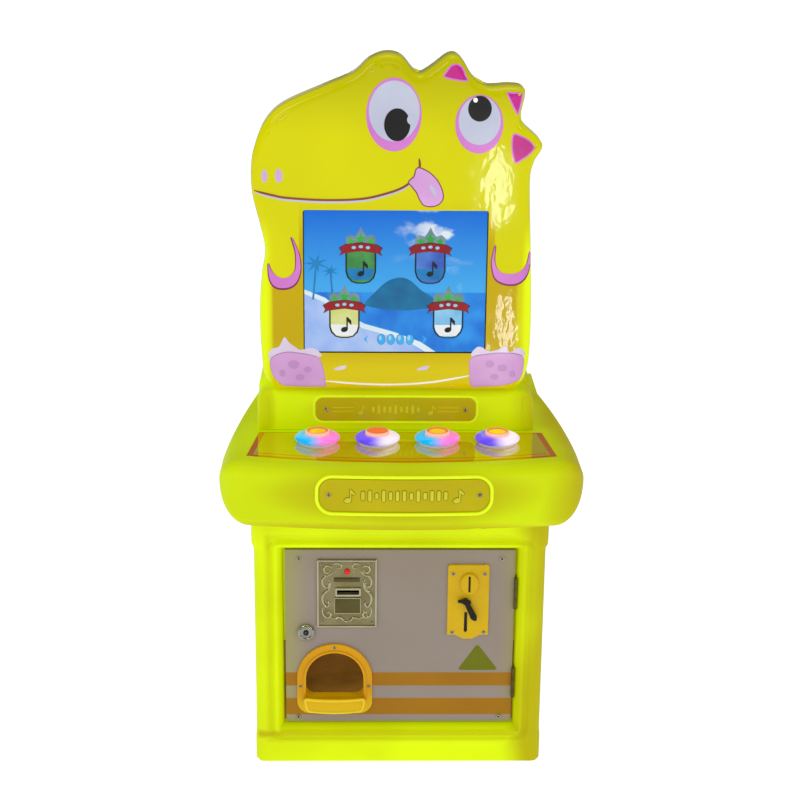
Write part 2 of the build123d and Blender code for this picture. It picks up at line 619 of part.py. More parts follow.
def arch(y, radius, low, top, corner):
    """A round-topped opening with softened lower corners, about the outlet's middle."""
    spring_line = top - radius
    left, right = OUTLET_X - radius, OUTLET_X + radius
    with BuildSketch(at_y(y)) as face:
        with BuildLine():
            ThreePointArc((left, spring_line), (OUTLET_X, top), (right, spring_line))
            Polyline((right, spring_line), (right, low), (left, low), (left, spring_line))
        make_face()
        fillet(face.vertices().group_by(Axis.Y)[0], corner)
    return face.sketch


with BuildPart() as door_panel:
    block(DOOR_X, (DOOR_Y, DOOR_BACK), DOOR_Z)
    rim = 3.0
    inner_x = (DOOR_X[0] + rim, DOOR_X[1] - rim)
    inner_z = (DOOR_Z[0] + rim, DOOR_Z[1] - rim)
    block(inner_x, (DOOR_INNER, DOOR_BACK), inner_z, Mode.SUBTRACT)
    through = (DOOR_Y - 1, DOOR_INNER + 1)
    with BuildSketch(at_y(through[0])):
        with Locations(TICKET_SLOT):
            Rectangle(*TICKET_SLOT_SIZE)
        with Locations(LED_AT):
            Circle(5.2)
        with Locations(COIN_SLOT):
            Rectangle(*COIN_SLOT_SIZE)
        with Locations(LEVER_AT):
            Circle(LEVER_SHAFT_R + 1.0)
        with Locations(LOCK_AT):
            Circle(LOCK_BARREL_R)
    extrude(amount=through[0] - through[1], mode=Mode.SUBTRACT)
    door_mouth = arch(through[0], MOUTH_R + 3, MOUTH_LOW - 3, MOUTH_TOP + 3, 20.0)
    extrude(door_mouth, amount=through[0] - through[1], mode=Mode.SUBTRACT)
finish(door_panel, "door_panel")

with BuildPart() as door_screws:
    for x, z in ((-163.2, 361.8), (165.3, 361.9), (-165.6, 77.7), (166.4, 78.1)):
        pin_y(x, z, 4.2, (DOOR_Y - 2.0, DOOR_Y))
finish(door_screws, "door_screws")

with BuildPart() as ticket_plate:
    block(TICKET_X, (DOOR_Y - 2.5, DOOR_Y), TICKET_Z)
    fillet(ticket_plate.edges().filter_by(Axis.Y), 2.0)
    block((TICKET_X[0] + 3, TICKET_X[1] - 3), (DOOR_Y - 2.5, DOOR_Y - 1.6),
          (TICKET_Z[0] + 3, TICKET_Z[1] - 3),
          Mode.SUBTRACT)
    with BuildSketch(at_y(DOOR_Y - 5)):
        with Locations(TICKET_SLOT):
            Rectangle(*TICKET_SLOT_SIZE)
        with Locations(LED_AT):
            Circle(5.2)
    extrude(amount=-10.0, mode=Mode.SUBTRACT)
finish(ticket_plate, "ticket_plate")

with BuildPart() as ticket_bezel:
    with BuildSketch(at_y(DOOR_Y - 1.6)):
        with Locations(TICKET_SLOT):
            RectangleRounded(*BEZEL_SIZE, 2.5)
            Rectangle(*TICKET_SLOT_SIZE, mode=Mode.SUBTRACT)
    extrude(amount=3.4)
    fillet(ticket_bezel.faces().sort_by(Axis.Y)[0].outer_wire().edges(), 1.2)
finish(ticket_bezel, "ticket_bezel")

with BuildPart() as ticket_led:
    pin_y(*LED_AT, 5.0, (DOOR_Y - 6.5, DOOR_INNER))
    fillet(ticket_led.faces().sort_by(Axis.Y)[0].edges(), 3.5)
finish(ticket_led, "ticket_led")

DISPENSER_X, DISPENSER_Z = (-128.0, -43.0), (246.0, 330.0)
DISPENSER_Y = (DOOR_INNER, -60.0)
ROLLER_Y, ROLLER_R, AXLE_R = -106.0, 8.0, 2.0
BEARING_X = (TICKET_SLOT[0] - 26.0, TICKET_SLOT[0] + 26.0)
with BuildPart() as ticket_dispenser:
    block(DISPENSER_X, DISPENSER_Y, DISPENSER_Z)
    block((DISPENSER_X[0] + 3, DISPENSER_X[1] - 3), (DISPENSER_Y[0] + 3, DISPENSER_Y[1] - 3),
          (DISPENSER_Z[0] + 3, DISPENSER_Z[1] - 3), Mode.SUBTRACT)
    for x in BEARING_X:
        block((x - 1.5, x + 1.5), (DISPENSER_Y[0] + 3, ROLLER_Y + 6), (TICKET_SLOT[1] - 14, TICKET_SLOT[1] + 14))
    bar_x(ROLLER_Y, TICKET_SLOT[1] - 6, AXLE_R + 0.05, (BEARING_X[0] - 2, BEARING_X[1] + 2), Mode.SUBTRACT)
    with BuildSketch(at_y(DOOR_INNER - 1)):
        with Locations(TICKET_SLOT):
            Rectangle(*TICKET_SLOT_SIZE)
    extrude(amount=-8.0, mode=Mode.SUBTRACT)
finish(ticket_dispenser, "ticket_dispenser")

with BuildPart() as ticket_roller:
    roller_z = TICKET_SLOT[1] - 6
    bar_x(ROLLER_Y, roller_z, ROLLER_R, (BEARING_X[0] + 3, BEARING_X[1] - 3))
    bar_x(ROLLER_Y, roller_z, AXLE_R, (BEARING_X[0] - 3, BEARING_X[1] + 3))
finish(ticket_roller, "ticket_roller")

COIN_PLATE_Y = (DOOR_Y - 3.5, DOOR_Y)
with BuildPart() as coin_plate:
    block(COIN_X, COIN_PLATE_Y, COIN_Z)
    # The lower edge dips to a shallow point under the return cup.
    middle_x = sum(COIN_X) / 2
    with BuildSketch(at_y(COIN_PLATE_Y[1])):
        with BuildLine():
            Polyline((middle_x - 20, COIN_Z[0]), (middle_x + 20, COIN_Z[0]), (middle_x + 8, COIN_Z[0] - 7),
                     (middle_x - 8, COIN_Z[0] - 7), close=True)
        make_face()
    extrude(amount=COIN_PLATE_Y[1] - COIN_PLATE_Y[0])
    fillet(coin_plate.edges().filter_by(Axis.Y).group_by(Axis.Z)[-1], 5.0)
    fillet(coin_plate.faces().sort_by(Axis.Y)[0].outer_wire().edges(), 1.5)
    with BuildSketch(at_y(COIN_PLATE_Y[0] - 1)):
        with Locations(COIN_SLOT):
            Rectangle(*COIN_SLOT_SIZE)
        with Locations(RETURN_SLIT):
            SlotOverall(31.0, 3.0, rotation=90)
        with Locations(LEVER_AT):
            Circle(LEVER_SHAFT_R + 0.06)
    extrude(amount=-8.0, mode=Mode.SUBTRACT)
finish(coin_plate, "coin_plate")

RING_Y = (COIN_PLATE_Y[0] - 5.0, COIN_PLATE_Y[0])
with BuildPart() as coin_ring:
    with BuildSketch(at_y(RING_Y[1])):
        with Locations(COIN_SLOT):
            Ellipse(15.0, 18.5)
            Rectangle(*COIN_SLOT_SIZE, mode=Mode.SUBTRACT)
    extrude(amount=RING_Y[1] - RING_Y[0])
    fillet(coin_ring.faces().sort_by(Axis.Y)[0].outer_wire().edges(), 2.5)
finish(coin_ring, "coin_ring")

MECH_X, MECH_Y, MECH_Z = (84.0, 139.5), (DOOR_INNER, -72.0), (240.0, 346.0)
with BuildPart() as coin_mech:
    block(MECH_X, MECH_Y, MECH_Z)
    block((MECH_X[0] + 3, MECH_X[1] - 3), (MECH_Y[0] + 3, MECH_Y[1] - 3), (MECH_Z[0] + 3, MECH_Z[1] - 3), Mode.SUBTRACT)
    with BuildSketch(at_y(MECH_Y[0] - 1)):
        with Locations(COIN_SLOT):
            Rectangle(*COIN_SLOT_SIZE)
        with Locations(LEVER_AT):
            Circle(LEVER_SHAFT_R + 1.0)
    extrude(amount=-6.0, mode=Mode.SUBTRACT)
    # The coin falls out of the bottom into the box below.
    block((108, 118), (-112, -82), (MECH_Z[0] - 1, MECH_Z[0] + 4), Mode.SUBTRACT)
finish(coin_mech, "coin_mech")

with BuildPart() as coin_lever:
    hub_y = (RING_Y[0] - 2, COIN_PLATE_Y[0] - 0.3)
    pin_y(*LEVER_AT, 5.0, hub_y)
    pin_y(*LEVER_AT, LEVER_SHAFT_R, (hub_y[1], DOOR_INNER + 12))
    with BuildSketch(at_y(hub_y[0] + 4)):
        with Locations(LEVER_AT):
            SlotOverall(19.0, 6.0, rotation=-8)
        with BuildLine():
            arm = Line(LEVER_AT, (LEVER_AT[0] + 16, LEVER_AT[1] - 30))
            offset(arm, amount=3.2)
        make_face()
    extrude(amount=4.0)
finish(coin_lever, "coin_lever")

with BuildPart() as trim_screws:
    for x in (TICKET_X[0] + 8, TICKET_X[1] - 8):
        for z in (TICKET_Z[0] + 8, TICKET_Z[1] - 8):
            pin_y(x, z, 2.8, (DOOR_Y - 3.2, DOOR_Y - 1.6))
    for x in (COIN_X[0] + 8.6, COIN_X[1] - 7.4):
        for z in (COIN_Z[0] + 5.2, COIN_Z[1] - 15.4):
            pin_y(x, z, 3.2, (COIN_PLATE_Y[0] - 1.8, COIN_PLATE_Y[0]))
    for x, z in ((OUTLET_X, 205.4), (-162.0, 135.6), (-49.4, 135.6), (OUTLET_X, 89.6)):
        pin_y(x, z, 2.9, (DOOR_Y - 5.6, DOOR_Y - 4.0))
finish(trim_screws, "trim_screws")

LIP_FRONT_Y, SLEEVE_BACK_Y = DOOR_Y - 16.0, DOOR_Y + 14.0
SCOOP_LOW, BEAD = 96.5, 3.0
with BuildPart() as prize_outlet:
    extrude(arch(DOOR_Y, OUTLET_R, OUTLET_LOW, OUTLET_TOP, 22.0), amount=4.0)
    fillet(prize_outlet.faces().sort_by(Axis.Y)[0].outer_wire().edges(), 1.5)
    # A sleeve carries the mouth back through the door.
    sleeve = arch(SLEEVE_BACK_Y, MOUTH_R + 2.0, MOUTH_LOW - 2.0, MOUTH_TOP + 2.0, 18.0)
    extrude(sleeve, amount=SLEEVE_BACK_Y - DOOR_Y + 1.0)
    # A bead runs round the mouth, and grows into a scoop that keeps a prize from rolling out.
    bead = arch(DOOR_Y - 1.0, MOUTH_R + BEAD, SCOOP_LOW - BEAD, MOUTH_TOP + BEAD, 18.0)
    extrude(bead, amount=DOOR_Y - 1.0 - LIP_FRONT_Y)
    block((OUTLET_X - 60, OUTLET_X + 60), (LIP_FRONT_Y - 1, DOOR_Y - 6.0), (117.0, 215.0), Mode.SUBTRACT)
    pocket = arch(DOOR_Y - 1.5, MOUTH_R, SCOOP_LOW, MOUTH_TOP, 16.0)
    extrude(pocket, amount=DOOR_Y - 1.5 - LIP_FRONT_Y - BEAD, mode=Mode.SUBTRACT)
    mouth = arch(SLEEVE_BACK_Y + 1.0, MOUTH_R - 0.8, MOUTH_LOW, MOUTH_TOP - 0.8, 15.0)
    extrude(mouth, amount=SLEEVE_BACK_Y - DOOR_Y + 5.0, mode=Mode.SUBTRACT)
finish(prize_outlet, "prize_outlet")

# ---------------------------------------------------------------- door lock and hinges
with BuildPart() as lock_barrel:
    pin_y(*LOCK_AT, LOCK_FLANGE_R, (DOOR_Y - 4.0, DOOR_Y))
    fillet(lock_barrel.faces().sort_by(Axis.Y)[0].edges(), 2.0)
    pin_y(*LOCK_AT, LOCK_BARREL_R, (DOOR_Y, DOOR_Y + 22))
    with BuildSketch(at_y(DOOR_INNER)):
        with Locations(LOCK_AT):
            RegularPolygon(13.0, 6)
            Circle(LOCK_BARREL_R, mode=Mode.SUBTRACT)
    extrude(amount=-5.0)
    pin_y(*LOCK_AT, PLUG_R + 0.05, (DOOR_Y - 6.0, DOOR_Y + 23), Mode.SUBTRACT)
finish(lock_barrel, "lock_barrel")

# The cam reaches behind the left side of the doorway.
CAM_Y = (DOOR_Y + 24.5, DOOR_Y + 27.5)
with BuildPart() as lock_cam:
    pin_y(*LOCK_AT, PLUG_R, (DOOR_Y - 3.0, CAM_Y[1]))
    pin_y(*LOCK_AT, 3.4, (DOOR_Y - 3.5, DOOR_Y - 2.0), Mode.SUBTRACT)
    pin_y(*LOCK_AT, 1.8, (DOOR_Y - 3.5, DOOR_Y - 1.0))
    with BuildSketch(at_y(CAM_Y[0])):
        with Locations((LOCK_AT[0], LOCK_AT[1] + 20.0)):
            SlotOverall(56.0, 16.0, rotation=90)
    extrude(amount=CAM_Y[0] - CAM_Y[1])
    pin_y(*LOCK_AT, 6.5, (CAM_Y[1], CAM_Y[1] + 3.0))
finish(lock_cam, "lock_cam")

KNUCKLE_GAP, PIN_R, LEAF_THICK = 0.4, 1.5, 1.2
LEAF_BACK_Y = -110.0
FIXED_LEAF_X, MOVING_LEAF_X = OPENING_X[1] - LEAF_THICK, DOOR_X[1]


def hinge_leaf(leaf_x, ends, thirds, bore):
    """A hinge leaf with its knuckles: thirds says which of the three it holds."""
    low, high = ends
    third = (high - low) / 3
    block((leaf_x, leaf_x + LEAF_THICK), (HINGE_AXIS[1] + HINGE_R + 0.6, LEAF_BACK_Y), (low, high))
    for index in thirds:
        bottom = low + third * index + KNUCKLE_GAP / 2
        top = bottom + third - KNUCKLE_GAP
        block((leaf_x, leaf_x + LEAF_THICK), (HINGE_AXIS[1], LEAF_BACK_Y), (bottom, top))
        post(*HINGE_AXIS, HINGE_R, (bottom, top))
    post(*HINGE_AXIS, bore, (low - 1, high + 1), Mode.SUBTRACT)


with BuildPart() as hinge_fixed_leaves:
    for ends in HINGE_Z:
        hinge_leaf(FIXED_LEAF_X, ends, (0, 2), PIN_R)
finish(hinge_fixed_leaves, "hinge_fixed_leaves")

with BuildPart() as hinge_moving_leaves:
    for ends in HINGE_Z:
        hinge_leaf(MOVING_LEAF_X, ends, (1,), PIN_R + 0.06)
finish(hinge_moving_leaves, "hinge_moving_leaves")

with BuildPart() as hinge_pins:
    for low, high in HINGE_Z:
        post(*HINGE_AXIS, PIN_R, (low, high))
finish(hinge_pins, "hinge_pins")

# ---------------------------------------------------------------- inside the base
BIN_X, BIN_Y, BIN_Z, BIN_WALL = (-164.0, -48.0), (-105.0, 45.0), (BOARD_Z[1], 206.0), 6.0
BIN_FLOOR_Z = 104.0
with BuildPart() as prize_bin:
    block(BIN_X, BIN_Y, BIN_Z)
    bin_in_x = (BIN_X[0] + BIN_WALL, BIN_X[1] - BIN_WALL)
    block(bin_in_x, (BIN_Y[0] - 1, BIN_Y[1] - BIN_WALL), (BIN_FLOOR_Z + BIN_WALL, BIN_Z[1] + 1), Mode.SUBTRACT)
    block(bin_in_x, (BIN_Y[0] + BIN_WALL, BIN_Y[1] - BIN_WALL), (BIN_Z[0] - 1, BIN_FLOOR_Z), Mode.SUBTRACT)
finish(prize_bin, "prize_bin")

COIN_BOX_X, COIN_BOX_Y, COIN_BOX_Z = (50.0, 160.0), (-90.0, 10.0), (BOARD_Z[1], 180.0)
with BuildPart() as coin_box:
    block(COIN_BOX_X, COIN_BOX_Y, COIN_BOX_Z)
    block((COIN_BOX_X[0] + 2, COIN_BOX_X[1] - 2), (COIN_BOX_Y[0] + 2, COIN_BOX_Y[1] - 2),
          (COIN_BOX_Z[0] + 2, COIN_BOX_Z[1] + 1), Mode.SUBTRACT)
finish(coin_box, "coin_box")

SUPPLY_X, SUPPLY_Y, SUPPLY_Z = (-20.0, 140.0), (110.0, 208.0), (BOARD_Z[1], BOARD_Z[1] + 42.0)
with BuildPart() as power_supply:
    block(SUPPLY_X, SUPPLY_Y, SUPPLY_Z)
    fillet(power_supply.faces().sort_by(Axis.Z)[-1].edges(), 1.5)
    with BuildSketch(Plane.XY.offset(SUPPLY_Z[1] - 3)):
        with Locations((92.0, 159.0)):
            with GridLocations(9, 9, 8, 8):
                Circle(3.0)
    extrude(amount=5.0, mode=Mode.SUBTRACT)
finish(power_supply, "power_supply")

INLET_Y = (BACK_FACE_Y - 26.0, BACK_FACE_Y)
ROCKER_AT, ROCKER_TILT = (BACK_FACE_Y + 0.5, 97.0), 8.0
INLET_MID = sum(INLET_X) / 2
with BuildPart() as ac_inlet:
    block((INLET_X[0], INLET_X[1]), INLET_Y, INLET_Z)
    block((INLET_X[0] - 3, INLET_X[1] + 3), (BACK_FACE_Y, BACK_FACE_Y + 2.0), (INLET_Z[0] - 3, INLET_Z[1] + 3))
    # The socket well with its three blades, and the window for the rocker.
    block((INLET_MID - 12, INLET_MID + 12), (BACK_FACE_Y - 16, BACK_FACE_Y + 3), (67.0, 83.0), Mode.SUBTRACT)
    for x in (INLET_MID - 7, INLET_MID, INLET_MID + 7):
        block((x - 1, x + 1), (BACK_FACE_Y - 16, BACK_FACE_Y - 2), (72.5, 77.5))
    block((INLET_MID - 7, INLET_MID + 7), (BACK_FACE_Y - 12, BACK_FACE_Y + 3), (86.0, 108.0), Mode.SUBTRACT)
finish(ac_inlet, "ac_inlet")

with BuildPart() as power_rocker:
    with BuildSketch(Plane.YZ.offset(INLET_MID - 6)):
        with BuildLine():
            y0, z0 = ROCKER_AT
            Polyline((y0 + 1.0, z0 - 8.5), (y0 - 0.6, z0), (y0 + 1.0, z0 + 8.5), (y0 - 6, z0 + 4), (y0 - 8, z0),
                     (y0 - 6, z0 - 4), close=True)
        make_face()
    extrude(amount=12.0)
power_rocker.part = power_rocker.part.rotate(Axis((INLET_MID, *ROCKER_AT), (1, 0, 0)), ROCKER_TILT)
finish(power_rocker, "power_rocker")

# Strips of lamps light the translucent mouldings from inside.
with BuildPart() as led_strips:
    for side in (-1, 1):
        strip_x = sorted((side * 229.5, side * 226.5))
        for y in (-100.0, 0.0, 100.0):
            block(strip_x, (y - 5, y + 5), (70.0, 440.0))
    block((-200.0, 200.0), (-125.0, -115.0), (CONSOLE_Z[0] + CONSOLE_WALL, CONSOLE_Z[0] + CONSOLE_WALL + 2))
    block((-190.0, 170.0), (NECK_Y[0] + 4, NECK_Y[0] + 6), (568.0, 578.0))
finish(led_strips, "led_strips")

HARNESS_ROUTE = [(60, -20, 734), (60, 10, 700), (60, 33, 650), (60, 70, 560), (60, 110, 440), (60, 140, 330),
                 (60, 152, 220), (60, 155, 140), (60, 155, SUPPLY_Z[1])]
HARNESS_R = 4.0
with BuildPart() as wiring_harness:
    with BuildLine() as route:
        FilletPolyline(*HARNESS_ROUTE, radius=[40, 90, 250, 250, 250, 250, 250])
    with BuildSketch(Plane(origin=route.line @ 0, z_dir=route.line % 0)):
        Circle(HARNESS_R)
    sweep()
finish(wiring_harness, "wiring_harness")
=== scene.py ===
"""The looks of the dance rhythm machine, on top of its CAD model."""
from math import cos, hypot, pi, sin, sqrt

import bmesh
import bpy
from mathutils import Matrix, Vector
from mathutils.bvhtree import BVHTree
from mathutils.geometry import delaunay_2d_cdt


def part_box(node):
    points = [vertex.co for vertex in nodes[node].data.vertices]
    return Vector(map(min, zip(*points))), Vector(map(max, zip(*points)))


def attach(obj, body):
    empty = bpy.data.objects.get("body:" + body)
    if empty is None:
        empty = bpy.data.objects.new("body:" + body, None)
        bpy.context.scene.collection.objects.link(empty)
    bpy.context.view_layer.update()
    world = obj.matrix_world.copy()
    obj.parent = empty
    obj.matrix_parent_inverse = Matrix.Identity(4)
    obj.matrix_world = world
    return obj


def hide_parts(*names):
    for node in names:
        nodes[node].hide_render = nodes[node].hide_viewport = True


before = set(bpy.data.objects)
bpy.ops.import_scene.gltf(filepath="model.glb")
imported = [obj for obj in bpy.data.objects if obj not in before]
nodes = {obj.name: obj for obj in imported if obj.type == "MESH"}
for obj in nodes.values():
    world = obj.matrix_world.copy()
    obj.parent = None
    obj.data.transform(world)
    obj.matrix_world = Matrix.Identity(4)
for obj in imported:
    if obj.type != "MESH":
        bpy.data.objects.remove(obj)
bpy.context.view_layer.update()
MM = 0.001


def box_mm(name):
    """A CAD node's lowest and highest corner, in millimetres."""
    low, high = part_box(name)
    return [c / MM for c in low], [c / MM for c in high]


def islands(name):
    """Low and high corner, in millimetres, of each separate solid of a CAD node."""
    bm = bmesh.new()
    bm.from_mesh(nodes[name].data)
    bmesh.ops.remove_doubles(bm, verts=bm.verts, dist=1e-6)
    seen, found = set(), []
    for start in bm.verts:
        if start in seen:
            continue
        stack, group = [start], []
        seen.add(start)
        while stack:
            vert = stack.pop()
            group.append(vert.co / MM)
            for edge in vert.link_edges:
                other = edge.other_vert(vert)
                if other not in seen:
                    seen.add(other)
                    stack.append(other)
        found.append(([min(c[k] for c in group) for k in range(3)],
                      [max(c[k] for c in group) for k in range(3)]))
    bm.free()
    return found


# ---------------------------------------------------------------- camera, light and floor
def make_camera():
    pitch, yaw, roll = 0.307112, 0.022322, 0.009979
    ahead = Vector((sin(yaw) * cos(pitch), cos(yaw) * cos(pitch), -sin(pitch)))
    right = Vector((cos(yaw), -sin(yaw), 0))
    up = right.cross(ahead)
    across = cos(roll) * right + sin(roll) * up
    above = -sin(roll) * right + cos(roll) * up
    data = bpy.data.cameras.new("camera")
    data.sensor_width, data.lens = 36.0, 76.80
    data.clip_start, data.clip_end = 0.05, 250.0
    camera = bpy.data.objects.new("camera", data)
    turn = Matrix((across, above, -ahead)).transposed().to_4x4()
    camera.matrix_world = Matrix.Translation((-0.05934, -2.67499, 1.43904)) @ turn
    bpy.context.collection.objects.link(camera)
    bpy.context.scene.camera = camera


def area_light(name, place, aim, size, power):
    data = bpy.data.lights.new(name, "AREA")
    data.shape, data.size, data.size_y, data.energy = "ELLIPSE", size[0], size[1], power
    lamp = bpy.data.objects.new(name, data)
    lamp.location = place
    lamp.rotation_euler = (Vector(aim) - Vector(place)).to_track_quat("-Z", "Y").to_euler()
    bpy.context.collection.objects.link(lamp)


def make_studio():
    scene = bpy.context.scene
    scene.view_settings.view_transform = "Standard"
    world = bpy.data.worlds.new("studio")
    world.use_nodes = True
    back = world.node_tree.nodes["Background"]
    back.inputs["Color"].default_value = (1.0, 1.0, 1.0, 1.0)
    # White to the eye, softer as a light, and dim in reflections so that colours stay deep.
    tree = world.node_tree
    rays = tree.nodes.new("ShaderNodeLightPath")
    mirror = tree.nodes.new("ShaderNodeMapRange")
    mirror.inputs["To Min"].default_value, mirror.inputs["To Max"].default_value = 0.50, 0.09
    direct = tree.nodes.new("ShaderNodeMath")
    direct.operation = "MAXIMUM"
    tree.links.new(rays.outputs["Is Glossy Ray"], mirror.inputs["Value"])
    tree.links.new(mirror.outputs[0], direct.inputs[0])
    tree.links.new(rays.outputs["Is Camera Ray"], direct.inputs[1])
    tree.links.new(direct.outputs[0], back.inputs["Strength"])
    scene.world = world
    area_light("key", (-1.7, -2.2, 2.6), (0, 0, 0.7), (1.2, 1.6), 12)
    area_light("side_strip", (2.1, -1.6, 1.6), (0, 0, 0.8), (0.25, 1.5), 6)
    area_light("glare_high", (0.348, -2.67, 0.478), (0.15, -0.09, 0.96), (0.07, 0.24), 0.6)
    area_light("glare_low", (0.365, -2.42, 0.104), (0.16, -0.09, 0.74), (0.035, 0.20), 0.30)
    area_light("top", (0.0, 0.2, 3.2), (0, 0, 0.5), (1.6, 1.6), 8)
    mesh = bpy.data.meshes.new("floor")
    mesh.from_pydata([(-60, -60, 0), (60, -60, 0), (60, 60, 0), (-60, 60, 0)], [], [(0, 1, 2, 3)])
    floor = bpy.data.objects.new("floor", mesh)
    bpy.context.collection.objects.link(floor)
    paint = Paint("floor_white")
    paint.colour(paint.vary((196, 196, 196), (204, 204, 204), 3.0))
    paint.socket("Roughness", 0.9)
    # The floor glows white to the eye, and only faintly in reflections.
    seen, mirrored = 0.82, 0.10
    paint.glow((255, 255, 255), seen)
    glossy = paint.node("ShaderNodeLightPath").outputs["Is Glossy Ray"]
    paint.join(paint.range(glossy, 0.0, 1.0, seen, mirrored), paint.shader.inputs["Emission Strength"])
    mesh.materials.append(paint.mat)


# ---------------------------------------------------------------- materials
def srgb(*rgb):
    def linear(c):
        c /= 255
        return c / 12.92 if c <= 0.04045 else ((c + 0.055) / 1.055) ** 2.4
    return (*[linear(c) for c in rgb], 1.0)


class Paint:
    """A procedural material in object space, built up from noise, masks and bumps."""

    GLOSS = {"specular": "Specular IOR Level", "metal": "Metallic", "coat": "Coat Weight",
             "coat_rough": "Coat Roughness", "coat_ior": "Coat IOR"}

    def __init__(self, name):
        self.mat = bpy.data.materials.new(name)
        self.mat.use_nodes = True
        self.tree = self.mat.node_tree
        self.shader = self.tree.nodes["Principled BSDF"]
        self.coords = self.node("ShaderNodeTexCoord").outputs["Object"]
        split = self.node("ShaderNodeSeparateXYZ")
        self.join(self.coords, split.inputs[0])
        self.x, self.y, self.z = split.outputs

    def node(self, kind, **values):
        made = self.tree.nodes.new(kind)
        for key, value in values.items():
            setattr(made, key, value)
        return made

    def join(self, source, target):
        if hasattr(source, "is_linked"):
            self.tree.links.new(source, target)
        else:
            target.default_value = source

    def socket(self, name, value):
        self.shader.inputs[name].default_value = value

    def math(self, operation, *values):
        made = self.node("ShaderNodeMath", operation=operation)
        for value, socket in zip(values, made.inputs):
            self.join(value, socket)
        return made.outputs[0]

    def plus(self, a, b):
        return self.math("ADD", a, b)

    def less(self, a, b):
        return self.math("SUBTRACT", a, b)

    def times(self, a, b):
        return self.math("MULTIPLY", a, b)

    def most(self, a, b):
        return self.math("MAXIMUM", a, b)

    def noise(self, scale, detail=3.0, stretch=(1, 1, 1)):
        made = self.node("ShaderNodeTexNoise")
        made.inputs["Scale"].default_value = scale
        made.inputs["Detail"].default_value = detail
        place = self.node("ShaderNodeMapping")
        place.inputs["Scale"].default_value = stretch
        self.join(self.coords, place.inputs["Vector"])
        self.join(place.outputs[0], made.inputs["Vector"])
        return made.outputs["Fac"]

    def mix(self, factor, a, b):
        made = self.node("ShaderNodeMix", data_type="RGBA")
        self.join(factor, made.inputs[0])
        self.join(srgb(*a) if isinstance(a, tuple) else a, made.inputs[6])
        self.join(srgb(*b) if isinstance(b, tuple) else b, made.inputs[7])
        return made.outputs[2]

    def range(self, value, low, high, out_low=0.0, out_high=1.0, smooth=False):
        made = self.node("ShaderNodeMapRange", interpolation_type="SMOOTHSTEP" if smooth else "LINEAR")
        self.join(value, made.inputs["Value"])
        for key, number in (("From Min", low), ("From Max", high), ("To Min", out_low), ("To Max", out_high)):
            made.inputs[key].default_value = number
        return made.outputs[0]

    def vary(self, a, b, scale, stretch=(1, 1, 1)):
        return self.mix(self.range(self.noise(scale, 4.0, stretch), 0.3, 0.7), a, b)

    def colour(self, source):
        self.join(source, self.shader.inputs["Base Color"])
        return source

    def rough(self, low, high, scale=40.0, stretch=(1, 1, 1)):
        amount = self.range(self.noise(scale, 3.0, stretch), 0.3, 0.7, low, high)
        self.join(amount, self.shader.inputs["Roughness"])

    def bump(self, scale, height, stretch=(1, 1, 1), strength=1.0):
        made = self.node("ShaderNodeBump")
        made.inputs["Strength"].default_value = strength
        made.inputs["Distance"].default_value = height * MM
        self.join(self.noise(scale, 2.0, stretch), made.inputs["Height"])
        self.join(made.outputs[0], self.shader.inputs["Normal"])

    def glow(self, source, strength):
        source = srgb(*source) if isinstance(source, tuple) else source
        self.join(source, self.shader.inputs["Emission Color"])
        self.socket("Emission Strength", strength)

    def finish(self, shade, rough, bump, glow=0.0, **gloss):
        """Colour, roughness, bump and glow together; gloss sets the sockets named in GLOSS."""
        self.colour(shade)
        self.rough(*rough)
        self.bump(*bump)
        if glow:
            self.glow(shade, glow)
        for name, value in gloss.items():
            self.socket(self.GLOSS[name], value)
        return self.mat

    def picture(self, shade, strength):
        """A dark surface that shows a lit colour."""
        self.finish((0.02, 0.02, 0.02, 1.0), (0.3, 0.45), (400.0, 0.01))
        self.glow(shade, strength)
        return self.mat

    def band(self, value, low, high, soft=0.0004):
        """1 between low and high (metres), 0 outside."""
        rise = self.range(value, low - soft, low + soft)
        return self.times(rise, self.range(value, high - soft, high + soft, 1.0, 0.0))


def plastic(name, dark, light, roughness=(0.25, 0.4), scale=14.0, glow=0.0, bump=0.03, coat=0.0):
    """Moulded plastic with cloudy colour, uneven gloss and a faint moulding grain."""
    paint = Paint(name)
    gloss = {"coat": coat, "coat_rough": 0.08} if coat else {}
    return paint.finish(paint.vary(dark, light, scale), roughness, (420.0, bump), glow, **gloss)


def metal(name, dark, light, roughness=(0.2, 0.35), brushed=(1, 1, 1)):
    paint = Paint(name)
    return paint.finish(paint.vary(dark, light, 30.0, brushed), (*roughness, 60.0, brushed),
                        (350.0, 0.02, brushed), metal=1.0)


